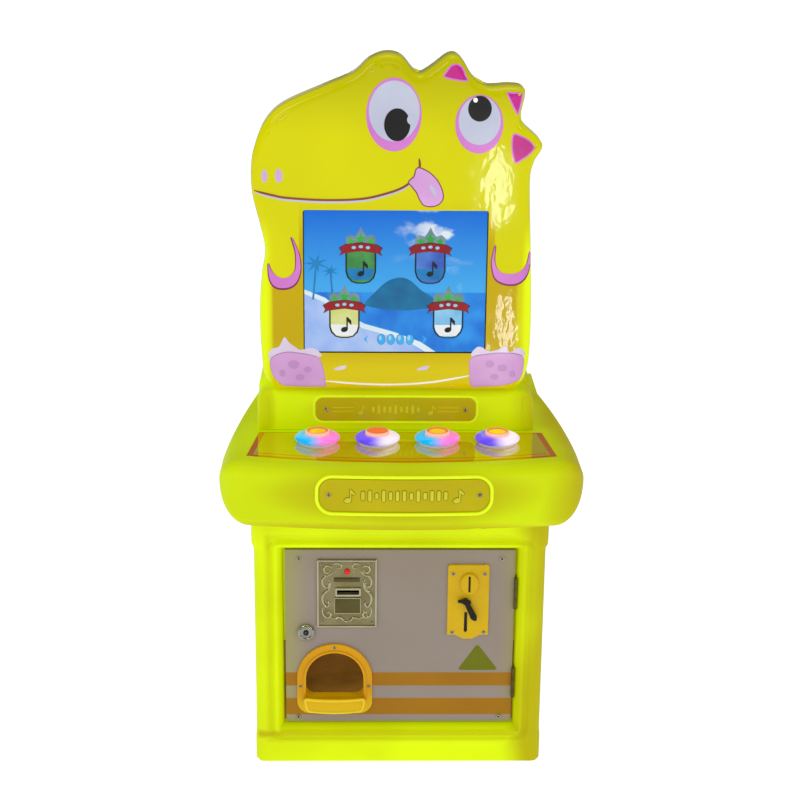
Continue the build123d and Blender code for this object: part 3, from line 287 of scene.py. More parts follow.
def moulding_material(name, wide=0.0, dark=(196, 212, 0), light=(208, 232, 2), zones=(), frame_of=None):
    """Translucent yellow-green moulding lit from inside, with painted shade in a darker yellow-brown towards
    its right.

    zones are ovals of painted shade (x, z, half width, half height, strength) in metres; frame_of names a node
    whose surround carries painted shade in the soft bands of a moulded frame.
    """
    paint = Paint(name)
    cloud = paint.noise(5.0, 2.0)
    shade = paint.mix(paint.range(cloud, 0.35, 0.65), dark, light)
    # Painted shade towards the right side.
    right = paint.plus(paint.x, paint.range(cloud, 0.3, 0.7, -0.02, 0.02))
    painted_shade = paint.range(right, 0.170 + wide, 0.226 + wide, 0.0, 0.9, True)
    # Painted shade in the step above the foot, on the front face.
    low = paint.band(paint.z, 0.046, 0.0575, 0.004)
    front = paint.range(paint.y, -0.137, -0.130, 1.0, 0.0)
    under = paint.times(paint.times(low, front), 0.75)
    painted_shade = paint.most(painted_shade, under)
    facing = paint.range(paint.y, -0.10, -0.03, 1.0, 0.0, True)
    # Painted shade in each oval, on faces that look forwards.
    for x, z, half_x, half_z, strength in zones:
        dx = paint.math("DIVIDE", paint.less(paint.x, x), half_x)
        dz = paint.math("DIVIDE", paint.less(paint.z, z), half_z)
        far = paint.plus(paint.times(dx, dx), paint.times(dz, dz))
        zone = paint.times(paint.range(far, 0.15, 1.0, strength, 0.0, True), facing)
        painted_shade = paint.most(painted_shade, zone)
    # Painted shade in soft bands round the frame: beside the door and along the outer groove.
    if frame_of:
        (x0, _, z0), (x1, _, z1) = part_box(frame_of)
        dx = paint.math("ABSOLUTE", paint.less(paint.x, (x0 + x1) / 2))
        dz = paint.math("ABSOLUTE", paint.less(paint.z, (z0 + z1) / 2))
        far = paint.most(paint.less(dx, (x1 - x0) / 2), paint.less(dz, (z1 - z0) / 2))
        bands = paint.most(paint.times(paint.band(far, -0.01, 0.007, 0.003), 0.35),
                           paint.times(paint.band(far, 0.022, 0.030, 0.005), 0.4))
        painted_shade = paint.most(painted_shade, paint.times(bands, facing))
    # The painted shade darkens the colour towards yellow-brown.
    shade = paint.mix(painted_shade, shade, (168, 156, 0))
    return paint.finish(shade, (0.28, 0.42, 20.0), (300.0, 0.05), 0.34, specular=0.12)


def door_material():
    """Greyish painted sheet with two orange bands and an olive triangle."""
    paint = Paint("door_print")
    (x0, y0, _), (x1, _, _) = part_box("door_panel")
    outside = paint.range(paint.y, y0 + 0.0004, y0 + 0.0008, 1.0, 0.0)
    shade = paint.vary((153, 139, 130), (160, 146, 138), 6.0)
    # Painted light: the glow of the lit moulding round the door tints it olive-yellow towards its left and
    # right edges.
    edge = paint.range(paint.x, x0, x0 + 0.045, 0.55, 0.0, True)
    shade = paint.mix(edge, shade, (176, 172, 92))
    edge = paint.range(paint.x, x1 - 0.03, x1, 0.0, 0.4, True)
    shade = paint.mix(edge, shade, (168, 160, 80))
    orange = paint.vary((166, 110, 0), (174, 120, 0), 9.0)
    bands = paint.most(paint.band(paint.z, 0.1347, 0.1589), paint.band(paint.z, 0.0817, 0.1120))
    shade = paint.mix(paint.times(bands, outside), shade, orange)
    # The triangle: inside all three of its rounded sides.
    corners = ((0.1287, 0.2020), (0.1058, 0.1682), (0.1538, 0.1682))
    across = None
    for (ax, az), (bx, bz) in zip(corners, corners[1:] + corners[:1]):
        length = hypot(bx - ax, bz - az)
        nx, nz = -(bz - az) / length, (bx - ax) / length
        side = paint.times(paint.less(paint.x, ax), -nx)
        side = paint.plus(side, paint.times(paint.less(paint.z, az), -nz))
        if across is None:
            across = side
        else:
            across = paint.math("SMOOTH_MAX", across, side, 0.010)
    inside = paint.times(paint.range(across, 0.0050, 0.0056, 1.0, 0.0), outside)
    shade = paint.mix(inside, shade, paint.vary((108, 114, 0), (116, 122, 0), 12.0))
    return paint.finish(shade, (0.32, 0.45, 15.0), (260.0, 0.03), specular=0.2, coat=0.2)


def wood_material():
    paint = Paint("varnished_wood")
    grain = (1, 1, 14)
    shade = paint.vary((92, 58, 22), (138, 92, 38), 9.0, grain)
    streak = paint.range(paint.noise(60.0, 5.0, grain), 0.45, 0.7, 0.0, 0.5)
    paint.colour(paint.mix(streak, shade, (70, 40, 14)))
    paint.rough(0.35, 0.55, 20.0, grain)
    paint.bump(50.0, 0.15, grain)
    # Painted light: the wood glows, so the inside of the prize bin looks lit.
    paint.glow(shade, 0.5)
    return paint.mat


def lens_material(name, x_mid, left, right):
    """A lit button lens: one colour on each side, paler towards its lower ring."""
    paint = Paint(name)
    side = paint.range(paint.plus(paint.x, paint.range(paint.noise(30.0), 0.3, 0.7, -0.002, 0.002)),
                       x_mid - 0.014, x_mid + 0.016, 0.0, 1.0, True)
    shade = paint.mix(side, left, right)
    low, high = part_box("button_1_lens")
    pale = paint.range(paint.z, low.z + 0.0005, high.z - 0.005, 0.7, 0.0, True)
    shade = paint.mix(pale, shade, (236, 232, 240))
    return paint.finish(shade, (0.1, 0.2, 50.0), (200.0, 0.03), 0.55, coat=0.6)


def panel_material():
    """Glossy olive-yellow centre, orange side bands and an orange line along the back."""
    paint = Paint("panel_print")
    (x0, y0, _), (x1, y1, _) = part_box("control_panel")
    shade = paint.vary((196, 176, 0), (206, 192, 4), 7.0)
    # The side edges slant: half width grows towards the front.
    half = paint.range(paint.y, y1, y0 + 0.03, (x1 - x0) / 2 - 0.013, (x1 - x0) / 2)
    middle = (x0 + x1) / 2
    out = paint.less(half, paint.math("ABSOLUTE", paint.less(paint.x, middle)))
    band = paint.range(out, 0.0086, 0.0092, 1.0, 0.0)
    line = paint.band(paint.y, y1 - 0.0036, y1)
    shade = paint.mix(paint.most(band, line), shade, paint.vary((206, 106, 0), (216, 118, 0), 9.0))
    far = paint.times(paint.x, paint.x)
    bow = paint.plus(paint.y, paint.times(far, -0.52))
    arc_1 = paint.band(bow, y0 - 0.0040, y0 + 0.0075, 0.0003)
    arc_2 = paint.times(paint.band(bow, y0 + 0.0145, y0 + 0.0185, 0.0003), paint.range(out, 0.012, 0.013))
    shade = paint.mix(paint.most(arc_1, arc_2), shade, (206, 106, 0))
    return paint.finish(shade, (0.04, 0.08, 12.0), (60.0, 0.01), 0.12, coat=1.0, coat_ior=1.8)


# ---------------------------------------------------------------- mesh helpers
def piece(name, verts, faces, material, body="cabinet", slot=None, smooth=True, sharp=None):
    """A mesh object from points in millimetres, riding on a CAD body."""
    mesh = bpy.data.meshes.new(name)
    mesh.from_pydata([(x * MM, y * MM, z * MM) for x, y, z in verts], [], faces)
    mesh.validate()
    bm = bmesh.new()
    bm.from_mesh(mesh)
    bmesh.ops.remove_doubles(bm, verts=bm.verts, dist=2e-6)
    bmesh.ops.recalc_face_normals(bm, faces=bm.faces)
    bm.to_mesh(mesh)
    bm.free()
    if smooth:
        mesh.shade_smooth()
        if sharp:
            mesh.set_sharp_from_angle(angle=sharp)
    mesh.materials.append(material)
    made = bpy.data.objects.new(name, mesh)
    bpy.context.collection.objects.link(made)
    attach(made, body)
    return made


def thicken(made, wall):
    """Gives an open sheet a wall, inwards, in millimetres."""
    modifier = made.modifiers.new("wall", "SOLIDIFY")
    modifier.thickness, modifier.offset = wall * MM, -1.0


def curve_through(points, steps=6, closed=True):
    """A Catmull-Rom line through 2-D points."""
    n, out = len(points), []
    last = n if closed else n - 1
    for i in range(last):
        if closed:
            p = [points[(i + k) % n] for k in (-1, 0, 1, 2)]
        else:
            p = [points[min(max(i + k, 0), n - 1)] for k in (-1, 0, 1, 2)]
        for s in range(steps):
            t = s / steps
            out.append(tuple(0.5 * (2 * p[1][k] + (p[2][k] - p[0][k]) * t
                       + (2 * p[0][k] - 5 * p[1][k] + 4 * p[2][k] - p[3][k]) * t * t
                       + (3 * p[1][k] - p[0][k] - 3 * p[2][k] + p[3][k]) * t ** 3) for k in (0, 1)))
    if not closed:
        out.append(tuple(points[-1]))
    return out


def oval(x, z, half_x, half_z, count=40, tilt=0.0):
    return [(x + half_x * cos(a) * cos(tilt) - half_z * sin(a) * sin(tilt),
             z + half_x * cos(a) * sin(tilt) + half_z * sin(a) * cos(tilt))
            for a in (2 * pi * i / count for i in range(count))]


def rounded(x, z, size, radius, count=8):
    """A rounded rectangle about (x, z)."""
    out = []
    for k, (sx, sz) in enumerate(((1, 1), (-1, 1), (-1, -1), (1, -1))):
        cx, cz = x + sx * (size[0] / 2 - radius), z + sz * (size[1] / 2 - radius)
        out += [(cx + radius * cos(pi / 2 * (k + s / count)), cz + radius * sin(pi / 2 * (k + s / count)))
                for s in range(count + 1)]
    return out


def dense(outline, step=8.0):
    """The outline with points added along its long edges."""
    out = []
    for (ax, az), (bx, bz) in zip(outline, outline[1:] + outline[:1]):
        count = max(1, int(hypot(bx - ax, bz - az) / step))
        out += [(ax + (bx - ax) * k / count, az + (bz - az) * k / count) for k in range(count)]
    return out


def inset(outline, by):
    """The outline moved inwards (anticlockwise outlines) by a distance."""
    out, n = [], len(outline)
    for i in range(n):
        (ax, az), (bx, bz) = outline[i - 1], outline[(i + 1) % n]
        length = hypot(bx - ax, bz - az) or 1.0
        out.append((outline[i][0] - by * (bz - az) / length, outline[i][1] + by * (bx - ax) / length))
    return out


def area(outline):
    return sum(a[0] * b[1] - b[0] * a[1] for a, b in zip(outline, outline[1:] + outline[:1])) / 2


def ccw(outline):
    """The outline, turned anticlockwise where it isn't."""
    return outline if area(outline) > 0 else outline[::-1]


def fill(outline, holes=(), extra=()):
    """Triangles inside an outline, outside its holes: 2-D points and faces."""
    points, edges = [], []
    for loop in (outline, *holes):
        start = len(points)
        points += [Vector(p) for p in loop]
        edges += [(start + i, start + (i + 1) % len(loop)) for i in range(len(loop))]
    points += [Vector(p) for p in extra]
    made, _, faces, *_ = delaunay_2d_cdt(points, edges, [], 1 if not holes else 0, 1e-5)
    if holes:
        loops = (outline, *holes)
        faces = [f for f in faces if within(centre_of([made[i] for i in f]), loops)]
    return made, faces


def centre_of(points):
    return sum(p[0] for p in points) / len(points), sum(p[1] for p in points) / len(points)


def within(point, loops):
    """Inside the first loop and outside the others, by counting crossings."""
    x, z = point
    inside = False
    for loop in loops:
        for (ax, az), (bx, bz) in zip(loop, loop[1:] + loop[:1]):
            if (az > z) != (bz > z) and x < ax + (z - az) / (bz - az) * (bx - ax):
                inside = not inside
    return inside


def strips(count, rows, start=0, closed=True):
    """Quads that join each row of points to the next."""
    wide = count if closed else count - 1
    return [(a + i, a + (i + 1) % count, a + count + (i + 1) % count, a + count + i)
            for a in range(start, start + (rows - 1) * count, count) for i in range(wide)]


def slab(name, outline, front, material, thick=0.6, edge=0.25, holes=(), body="cabinet", slot=None, grid=0,
         rows=()):
    """A thin raised shape facing -Y. front gives Y at (x, z), or is one number."""
    surface = front if callable(front) else (lambda x, z: front)
    outline = ccw(outline)
    top = inset(outline, edge) if edge else outline
    extra = []
    if grid:
        xs, zs = [p[0] for p in top], [p[1] for p in top]
        nx, nz = int((max(xs) - min(xs)) / grid), int((max(zs) - min(zs)) / grid)
        extra = [(min(xs) + i * grid, min(zs) + j * grid) for i in range(1, nx + 1) for j in range(1, nz + 1)]
        extra += rows
        extra = [p for p in extra if within(p, (top, *holes))]
    points, faces = fill(top, holes, extra)
    verts = [(x, surface(x, z) - thick, z) for x, z in points]
    faces = [tuple(f) for f in faces]
    rings = [(top, outline)] + [(hole, hole) for hole in holes]
    for upper, lower in rings:
        start, n = len(verts), len(upper)
        verts += [(x, surface(x, z) - thick, z) for x, z in upper]
        verts += [(x, surface(x, z) - thick * 0.55, z) for x, z in lower]
        verts += [(x, surface(x, z) + 0.3, z) for x, z in lower]
        faces += strips(n, 3, start)
    return piece(name, verts, faces, material, body, slot, sharp=0.7)


def tube(name, points, radius, material, body="cabinet", slot=None, sides=8, closed=False, flat=1.0):
    """A round or flattened bead along 3-D points, capped at open ends; radius may be a list."""
    verts, faces, n = [], [], len(points)
    radii = radius if isinstance(radius, list) else [radius] * n
    for i, point in enumerate(points):
        before = Vector(points[i - 1 if closed or i else 0])
        after = Vector(points[(i + 1) % n if closed or i < n - 1 else i])
        along = (after - before).normalized()
        side = along.cross(Vector((0, -1, 0))).normalized()
        for k in range(sides):
            a = 2 * pi * k / sides
            out = cos(a) * side + flat * sin(a) * Vector((0, -1, 0))
            verts.append(tuple(Vector(point) + radii[i] * out))
    for i in range(n if closed else n - 1):
        j = (i + 1) % n
        for k in range(sides):
            m = (k + 1) % sides
            faces.append((i * sides + k, i * sides + m, j * sides + m, j * sides + k))
    if not closed:
        faces += [tuple(range(sides)), tuple(range((n - 1) * sides, n * sides))]
    return piece(name, verts, faces, material, body, slot)


def lathe(profile, at, count=28, base=None):
    """A turned shape's points and faces. Its axis is along Y through at (x, z), with (radius, y) in profile;
    with a base height it stands on it at (x, y), with (radius, height above base) in profile."""
    verts = []
    angles = [2 * pi * k / count for k in range(count)]
    for r, along in profile:
        ring = [(at[0] + r * cos(a), at[1] + r * sin(a)) for a in angles]
        verts += [(u, along, v) if base is None else (u, v, base + along) for u, v in ring]
    return verts, strips(count, len(profile))


def join_shapes(shapes):
    verts, faces = [], []
    for v, f in shapes:
        start = len(verts)
        verts += v
        faces += [tuple(start + i for i in face) for face in f]
    return verts, faces


def paint_node(name, material):
    """Gives a CAD node its material."""
    mesh = nodes[name].data
    mesh.materials.clear()
    mesh.materials.append(material)
    for polygon in mesh.polygons:
        polygon.material_index = 0


# ---------------------------------------------------------------- base
def make_base():
    """One lit moulding from the floor to the console: flared foot, ribs, cove round the door."""
    (_, _, _), (_, back, top) = box_mm("console_collar")
    (bx0, front, _), (bx1, _, _) = box_mm("base_shell")
    _, _, foot = box_mm("plinth")[0]
    door_low, door_high = box_mm("door_panel")
    gap = 3.5
    x0, x1, z0, z1 = door_low[0] - gap, door_high[0] + gap, door_low[2] - gap, door_high[2] + gap
    edge_r, back_y, foot_top, collar_low, half_wide = 15.0, back - 2.5, 58.0, 382.0, 235.0

    def ramp(rise, length):
        return min(max(rise / length, 0.0), 1.0)

    def hump(off, half):
        """1 in the middle, 0 from half a width away."""
        return max(0.0, 1 - (off / half) ** 2)

    def flare(z):
        """How far the walls stand out from the base at this height: at its collar and its foot."""
        up, down = ramp(z - collar_low, 6.0), ramp(foot_top - z, 14.0)
        return 1.0 + 3.6 * up * up * (3 - 2 * up) + 1.2 * down * down * (3 - 2 * down)

    def depth(x, z):
        """Y of the front wall."""
        away = hypot(max(x0 - x, x - x1, 0.0), max(z0 - z, z - z1, 0.0))
        near = min(x - bx0, bx1 - x)
        # A cove, a bead and a groove run round the door, and an upright groove along each side.
        y = front
        y += 13.0 * max(0.0, 1 - away / 9.0) ** 1.6
        y -= 2.6 * hump(away - 11.0, 4.5)
        y += 3.4 * hump(away - 19.5, 5.5) ** 1.5
        y += 2.6 * hump(near - 31.0, 7.0) * ramp(z - foot_top, 20.0)
        if z > z1:
            swell = min((z - z1) / 60.0, 1.0)
            y -= 3.0 * sin(pi * swell) + 3.0 * swell
        if z < foot_top:
            y -= 1.2 * min((foot_top - z) / 6.0, 1.0)
        if near < edge_r:
            y += edge_r - sqrt(max(edge_r ** 2 - (edge_r - near) ** 2, 0.0))
        return y

    # The front is a set of loops, from its outer edge in to the door's opening.
    across, tall, steps = 60, 90, 34
    rows = []
    for s in range(steps + 1):
        t = s / steps
        left, right = bx0 + (x0 - bx0) * t, bx1 + (x1 - bx1) * t
        low, high = foot + (z0 - foot) * t, top + (z1 - top) * t
        loop = [(left + (right - left) * i / across, low) for i in range(across)]
        loop += [(right, low + (high - low) * i / tall) for i in range(tall)]
        loop += [(right - (right - left) * i / across, high) for i in range(across)]
        loop += [(left, high - (high - low) * i / tall) for i in range(tall)]
        rows.append(loop)
    count = len(rows[0])
    middle = (bx0 + bx1) / 2

    def flared(x, z):
        return middle + (x - middle) * (1 + flare(z) / half_wide)

    verts = [(flared(x, z), depth(x, z), z) for loop in rows for x, z in loop]
    verts += [(x, depth(x, z) + 14.0, z) for x, z in rows[-1]]
    faces = strips(count, steps + 2)
    # Side and rear walls, on one plan from corner to corner.
    plan = [(bx0, front + edge_r + (back_y - 12 - front - edge_r) * i / 10) for i in range(11)]
    plan += [(bx0 + 12 - 12 * cos(pi / 8 * k), back_y - 12 + 12 * sin(pi / 8 * k)) for k in range(1, 5)]
    mirrored = [(bx0 + bx1 - x, y) for x, y in reversed(plan)]
    gap_mid = [(plan[-1][0] + (mirrored[0][0] - plan[-1][0]) * i / 12, back_y) for i in range(1, 12)]
    plan = plan + gap_mid + mirrored
    heights = [foot + (top - foot) * i / tall for i in range(tall + 1)]
    start = len(verts)
    for z in heights:
        verts += [(flared(x, z), y + flare(z) * (y > back_y - 1), z) for x, y in plan]
    faces += strips(len(plan), tall + 1, start, closed=False)
    # The moulding carries painted shade in bands round the door's frame.
    glow = moulding_material("lit_moulding", frame_of="door_panel")
    made = piece("base_moulding", verts, faces, glow, slot="glow_plastic", sharp=0.9)
    thicken(made, 3.2)
    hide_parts("base_shell", "console_collar", "plinth")


# ---------------------------------------------------------------- head
# The head's outline at its left foot, up, over and down to its right foot, in millimetres.
HEAD = [
    (-196, 633), (-216, 654), (-221, 690), (-223, 760), (-219, 820), (-213.5, 858),
    (-221, 898), (-232, 945), (-233.5, 985), (-228, 1018), (-213, 1054), (-185, 1081.5),
    (-124, 1109), (-78, 1129), (-54, 1150), (-28, 1160), (-4, 1155), (14, 1135),
    (26, 1130), (44, 1141), (66, 1157.5), (80, 1158), (91, 1147), (106, 1124),
    (128, 1111.5), (160, 1113), (181, 1110), (184, 1098), (179, 1071), (184, 1054),
    (209, 1031), (212.5, 1018), (201, 997), (196, 966), (200, 873), (204, 777),
    (204, 700), (199, 662), (188, 641), (170, 633),
]
# The rim from the seam inwards: (distance in from the outline, depth behind the face).
RIM = [(0.0, 60.0), (0.0, 30.0), (0.0, 17.0), (0.6, 11.0), (2.2, 6.0), (5.0, 2.6), (9.0, 0.6), (13.0, 0.0)]


def head_outline():
    """The outline, anticlockwise, rounded everywhere but on its flat bottom."""
    line = curve_through(HEAD, 5, closed=False)
    (x0, z0), (x1, z1) = line[-1], line[0]
    line += [(x0 + (x1 - x0) * k / 30, z0 + (z1 - z0) * k / 30) for k in range(1, 30)]
    return ccw(line)


def head_surface():
    """Y of the head's face at (x, z): a low swelling rim, then a flat sheet."""
    front = box_mm("head_front")[0][1]
    line = head_outline()

    def away(x, z):
        best = 1e9
        for (ax, az), (bx, bz) in zip(line, line[1:] + line[:1]):
            dx, dz = bx - ax, bz - az
            size = dx * dx + dz * dz
            t = min(max(((x - ax) * dx + (z - az) * dz) / size, 0.0), 1.0) if size else 0.0
            best = min(best, (x - ax - t * dx) ** 2 + (z - az - t * dz) ** 2)
        return sqrt(best)

    def surface(x, z):
        d = away(x, z)
        if d < 13.0:
            for (d0, y0), (d1, y1) in zip(RIM[2:], RIM[3:]):
                if d <= d1:
                    return front + y0 + (y1 - y0) * (d - d0) / (d1 - d0)
        return front
    return surface


def make_head(surface):
    (_, front, _), (_, seam, _) = box_mm("head_front")
    glass_low, glass_high = box_mm("screen_glass")
    sx, sz = (glass_low[0] + glass_high[0]) / 2, (glass_low[2] + glass_high[2]) / 2
    window = rounded(sx, sz, (glass_high[0] - glass_low[0] - 16, glass_high[2] - glass_low[2] - 16), 4.0)
    line = head_outline()
    rings = [inset(line, margin) for margin, _ in RIM]
    verts, n = [], len(line)
    for (_, deep), ring in zip(RIM, rings):
        verts += [(x, min(front + deep, seam), z) for x, z in ring]
    faces = strips(n, len(RIM))
    field = (inset(line, 15.5), inset(window[::-1], 4.0))
    grid = [(-245 + i * 7.0, 625 + j * 7.0) for i in range(70) for j in range(80)]
    points, tris = fill(rings[-1], (window,), [p for p in grid if within(p, field)])
    start = len(verts)
    verts += [(x, surface(x, z), z) for x, z in points]
    faces += [tuple(start + i for i in f) for f in tris]
    # The window's edge rolls in to the glass.
    start, m = len(verts), len(window)
    for outwards, deep in ((0.0, 0.0), (1.0, 1.2), (1.6, 5.6)):
        verts += [(x, surface(x, z) + deep, z) for x, z in inset(window, -outwards)]
    faces += strips(m, 3, start)
    made = piece("head_moulding", verts, faces, head_material(), slot="head_plastic", sharp=0.9)
    thicken(made, 2.0)
    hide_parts("head_front")


def head_material():
    """Glossy printed sheet: yellow, with yellow-brown round the screen, two arm lobes, painted shade at its top
    and painted light on its lower rim.
    """
    paint = Paint("head_print")
    cloud = paint.noise(4.0, 2.0)
    bright = paint.mix(paint.range(cloud, 0.35, 0.65), (207, 203, 0), (216, 213, 0))
    # Painted shade: the top of the head darkens towards olive.
    bright = paint.mix(paint.range(paint.z, 1.03, 1.14, 0.0, 0.9, True), bright, (182, 178, 0))
    below = paint.range(paint.z, 0.86, 0.95, 1.0, 0.0, True)
    left = paint.range(paint.x, -0.206, -0.200, 0.0, 1.0, True)
    right = paint.range(paint.x, 0.176, 0.184, 1.0, 0.0, True)
    belly = paint.times(paint.times(left, right), below)
    for middle, half, tip in ((-0.183, 0.023, 0.826), (0.170, 0.027, 0.836)):
        # An arm hangs down to a round tip.
        dx = paint.math("ABSOLUTE", paint.less(paint.x, middle))
        dz = paint.math("MINIMUM", paint.less(paint.z, tip), 0.0)
        far = paint.math("SQRT", paint.plus(paint.times(dx, dx), paint.times(dz, dz)))
        belly = paint.times(belly, paint.range(far, half - 0.001, half + 0.001))
    warm = paint.mix(paint.range(paint.z, 0.66, 0.72, 0.0, 1.0, True), (222, 204, 4), (194, 164, 2))
    shade = paint.mix(paint.times(belly, 0.95), bright, warm)
    # Painted light: the lower parts of the left and right rims turn a brighter, greener yellow.
    side = paint.most(paint.range(paint.x, -0.214, -0.200, 1.0, 0.0, True),
                      paint.range(paint.x, 0.184, 0.196, 0.0, 1.0, True))
    lit = paint.times(side, paint.range(paint.z, 0.84, 0.92, 1.0, 0.0, True))
    shade = paint.mix(lit, shade, (228, 246, 2))
    paint.finish(shade, (0.05, 0.12, 10.0), (62.0, 0.16, (1, 1, 0.7)), 0.16,
                 specular=0.12, coat=0.45, coat_rough=0.03)
    # The ripple in the sheet breaks up the reflections in its gloss too.
    paint.join(paint.shader.inputs["Normal"].links[0].from_socket, paint.shader.inputs["Coat Normal"])
    # Painted light: walls that look upwards glow more strongly, so that they keep their colour beside the pale
    # surroundings.
    facing = paint.node("ShaderNodeSeparateXYZ")
    paint.join(paint.node("ShaderNodeNewGeometry").outputs["Normal"], facing.inputs[0])
    strength = paint.range(facing.outputs[2], 0.25, 0.9, 0.16, 0.42)
    paint.join(strength, paint.shader.inputs["Emission Strength"])
    return paint.mat


def make_face(surface):
    def ink(name, dark, light, gloss=(0.15, 0.25), **more):
        return plastic("ink_" + name, dark, light, gloss, **{"coat": 0.5, **more})

    pink = ink("pink", (204, 112, 200), (216, 130, 210), glow=0.12, coat=0.3)
    pale = ink("lavender", (186, 190, 212), (198, 202, 222), glow=0.10, coat=0.3)
    black = ink("black", (6, 6, 6), (16, 14, 14), (0.12, 0.2))
    magenta = ink("magenta", (192, 24, 130), (204, 36, 146), glow=0.1, coat=0.3)
    brown = ink("brown", (140, 62, 20), (160, 74, 26))
    lilac = ink("lilac", (208, 152, 212), (222, 172, 224), glow=0.12, coat=0.3)
    dark = ink("plum", (128, 22, 84), (148, 32, 100))
    white = ink("white", (240, 240, 232), (250, 250, 246), glow=0.2)

    line = head_outline()
    rows = [p for margin, _ in RIM[3:] for p in inset(line, margin)]

    def print_on(name, outline, material, level, grid=4):
        # Each print stands a little prouder than the one beneath it.
        slab(name, outline, surface, material, thick=0.15 + 0.25 * level, edge=0.2, slot="head_plastic",
             grid=grid, rows=rows)

    print_on("left_eye_ring", oval(-15, 1070, 42, 55.5, 56), pink, 1)
    print_on("left_eye_white", oval(-14.5, 1075.5, 38.5, 46, 52), pale, 2)
    print_on("left_pupil", oval(-10, 1055, 20, 25, 40), black, 3)
    print_on("left_glint", oval(12, 1063, 7.2, 8, 24), pale, 4, 0)
    print_on("right_eye_ring", oval(114.5, 1056.5, 36.5, 44.5, 52), pink, 1)
    print_on("right_eye_white", oval(115, 1062, 32, 37, 48), pale, 2)
    print_on("right_pupil", oval(115, 1080, 18, 19.5, 40), black, 3)
    print_on("right_glint", oval(108, 1093, 3.6, 3.8, 18), white, 4, 0)
    for k, (x, z, half_x, half_z) in enumerate(((-212, 975.5, 3.0, 8.5), (-190, 976, 4.2, 9.0))):
        print_on(f"nostril_{k}_edge", oval(x, z, half_x + 1.6, half_z + 1.8, 24), pale, 1, 0)
        print_on(f"nostril_{k}", oval(x, z, half_x, half_z, 24), lilac, 2, 0)
    smile = [(-228, 953), (-200, 946), (-177, 942), (-121, 939), (-65, 941), (-28, 949), (1, 960), (20, 977),
             (25, 992), (24, 1004)]
    ribbon("smile", smile, 1.7, brown, surface, 2)
    ribbon("smile_edge", [(x, z - 3.2) for x, z in smile[:-2]], 1.6, pale, surface, 1)
    tongue = curve_through([(22, 989), (38, 983), (51, 971), (59, 956), (61, 943), (55, 934), (45, 930.5),
                            (33, 932), (26, 941), (21, 952), (13, 962), (9, 968), (17, 976)], 4)
    print_on("tongue_edge", inset(ccw(tongue), -1.6), dark, 1)
    print_on("tongue", tongue, lilac, 2)
    print_on("tongue_glint", oval(46, 955, 3.2, 10, 24, 0.5), pale, 3, 0)
    spikes = (
        [(59, 1127), (63, 1136), (70, 1145), (79, 1147), (88, 1142), (93, 1131), (96, 1121), (77, 1122)],
        [(155, 1104), (166, 1105), (179, 1104), (179, 1091), (176, 1078), (172, 1071), (163, 1086)],
        [(167, 1043), (181, 1039), (194, 1031), (200, 1022), (195, 1013), (184, 1004), (171, 997), (166, 1009),
         (164, 1028)],
    )
    for k, points in enumerate(spikes):
        outline = ccw(curve_through(points, 4))
        print_on(f"spike_{k}_edge", outline, pink, 1)
        print_on(f"spike_{k}", inset(outline, 2.4), magenta, 2)
    hands = (
        [(-208, 840), (-207, 818), (-201, 805), (-190, 800), (-174, 802), (-163, 812), (-158, 830), (-159, 849),
         (-164, 866), (-172, 882), (-166, 860), (-165, 841), (-167, 828), (-175, 819), (-186, 816), (-197, 821),
         (-204, 830)],
        [(144, 871), (140, 854), (139, 839), (144, 819), (156, 810), (173, 808), (186, 813), (195, 825),
         (199, 843), (198, 860), (194, 842), (187, 831), (175, 825), (160, 825), (150, 830), (144, 841),
         (143, 854)],
    )
    for k, points in enumerate(hands):
        outline = ccw(curve_through(points, 4))
        print_on(f"hand_{k}_edge", [(x, z - 1.6) for x, z in inset(outline, -1.4)], dark, 1)
        print_on(f"hand_{k}", outline, pink, 2)
    claws = (
        [(-207, 684), (-206, 700), (-195, 704), (-191, 708), (-184, 721), (-177, 712), (-166, 704), (-159, 700),
         (-141, 704), (-130, 697), (-127, 689), (-160, 686)],
        [(111, 690), (117, 704), (126, 706), (138, 699), (153, 702), (165, 708), (171, 697), (184, 705),
         (192, 702), (193, 690), (150, 687)],
    )
    pads = (
        [(-205, 686), (-183, 696), (-164, 695), (-141, 691), (-130, 685), (-124, 669), (-121, 645), (-124, 640),
         (-180, 641), (-195, 649), (-204, 664)],
        [(111, 688), (142, 695), (165, 696), (180, 695), (192, 690), (193, 674), (190, 658), (182, 650),
         (163, 644), (128, 641), (112, 642), (109, 666)],
    )
    blush = ink("blush", (196, 142, 204), (208, 156, 214), glow=0.08, coat=0.3)
    cloud = ink("claw", (212, 194, 222), (228, 214, 236), glow=0.15)
    spots = ([(-170, 676, 9, 7), (-188, 662, 5, 6), (-148, 668, 6, 5), (-160, 655, 7, 5)],
             [(140, 678, 7, 6), (160, 672, 8, 6), (176, 662, 5, 6), (148, 657, 7, 5)])
    for k in (0, 1):
        print_on(f"claws_{k}", curve_through(claws[k], 3), cloud, 1)
        print_on(f"foot_{k}_edge", inset(ccw(curve_through(pads[k], 4)), -1.0), blush, 1)
        print_on(f"foot_{k}", curve_through(pads[k], 4), lilac, 2)
        for m, (x, z, half_x, half_z) in enumerate(spots[k]):
            print_on(f"foot_{k}_spot_{m}", oval(x, z, half_x, half_z, 20), blush, 3, 0)
    for k, x in enumerate((-97, 34)):
        glint = [(x - 10, 668), (x - 4, 672), (x + 9, 675), (x + 8, 669), (x - 2, 667)]
        print_on(f"belly_glint_{k}", curve_through(glint, 4), cloud, 1, 0)
    waist = [(-120, 649), (-65, 644.5), (-7, 643.5), (51, 648), (110, 659)]
    ribbon("belly_line", waist, 1.5, white, surface, 1)


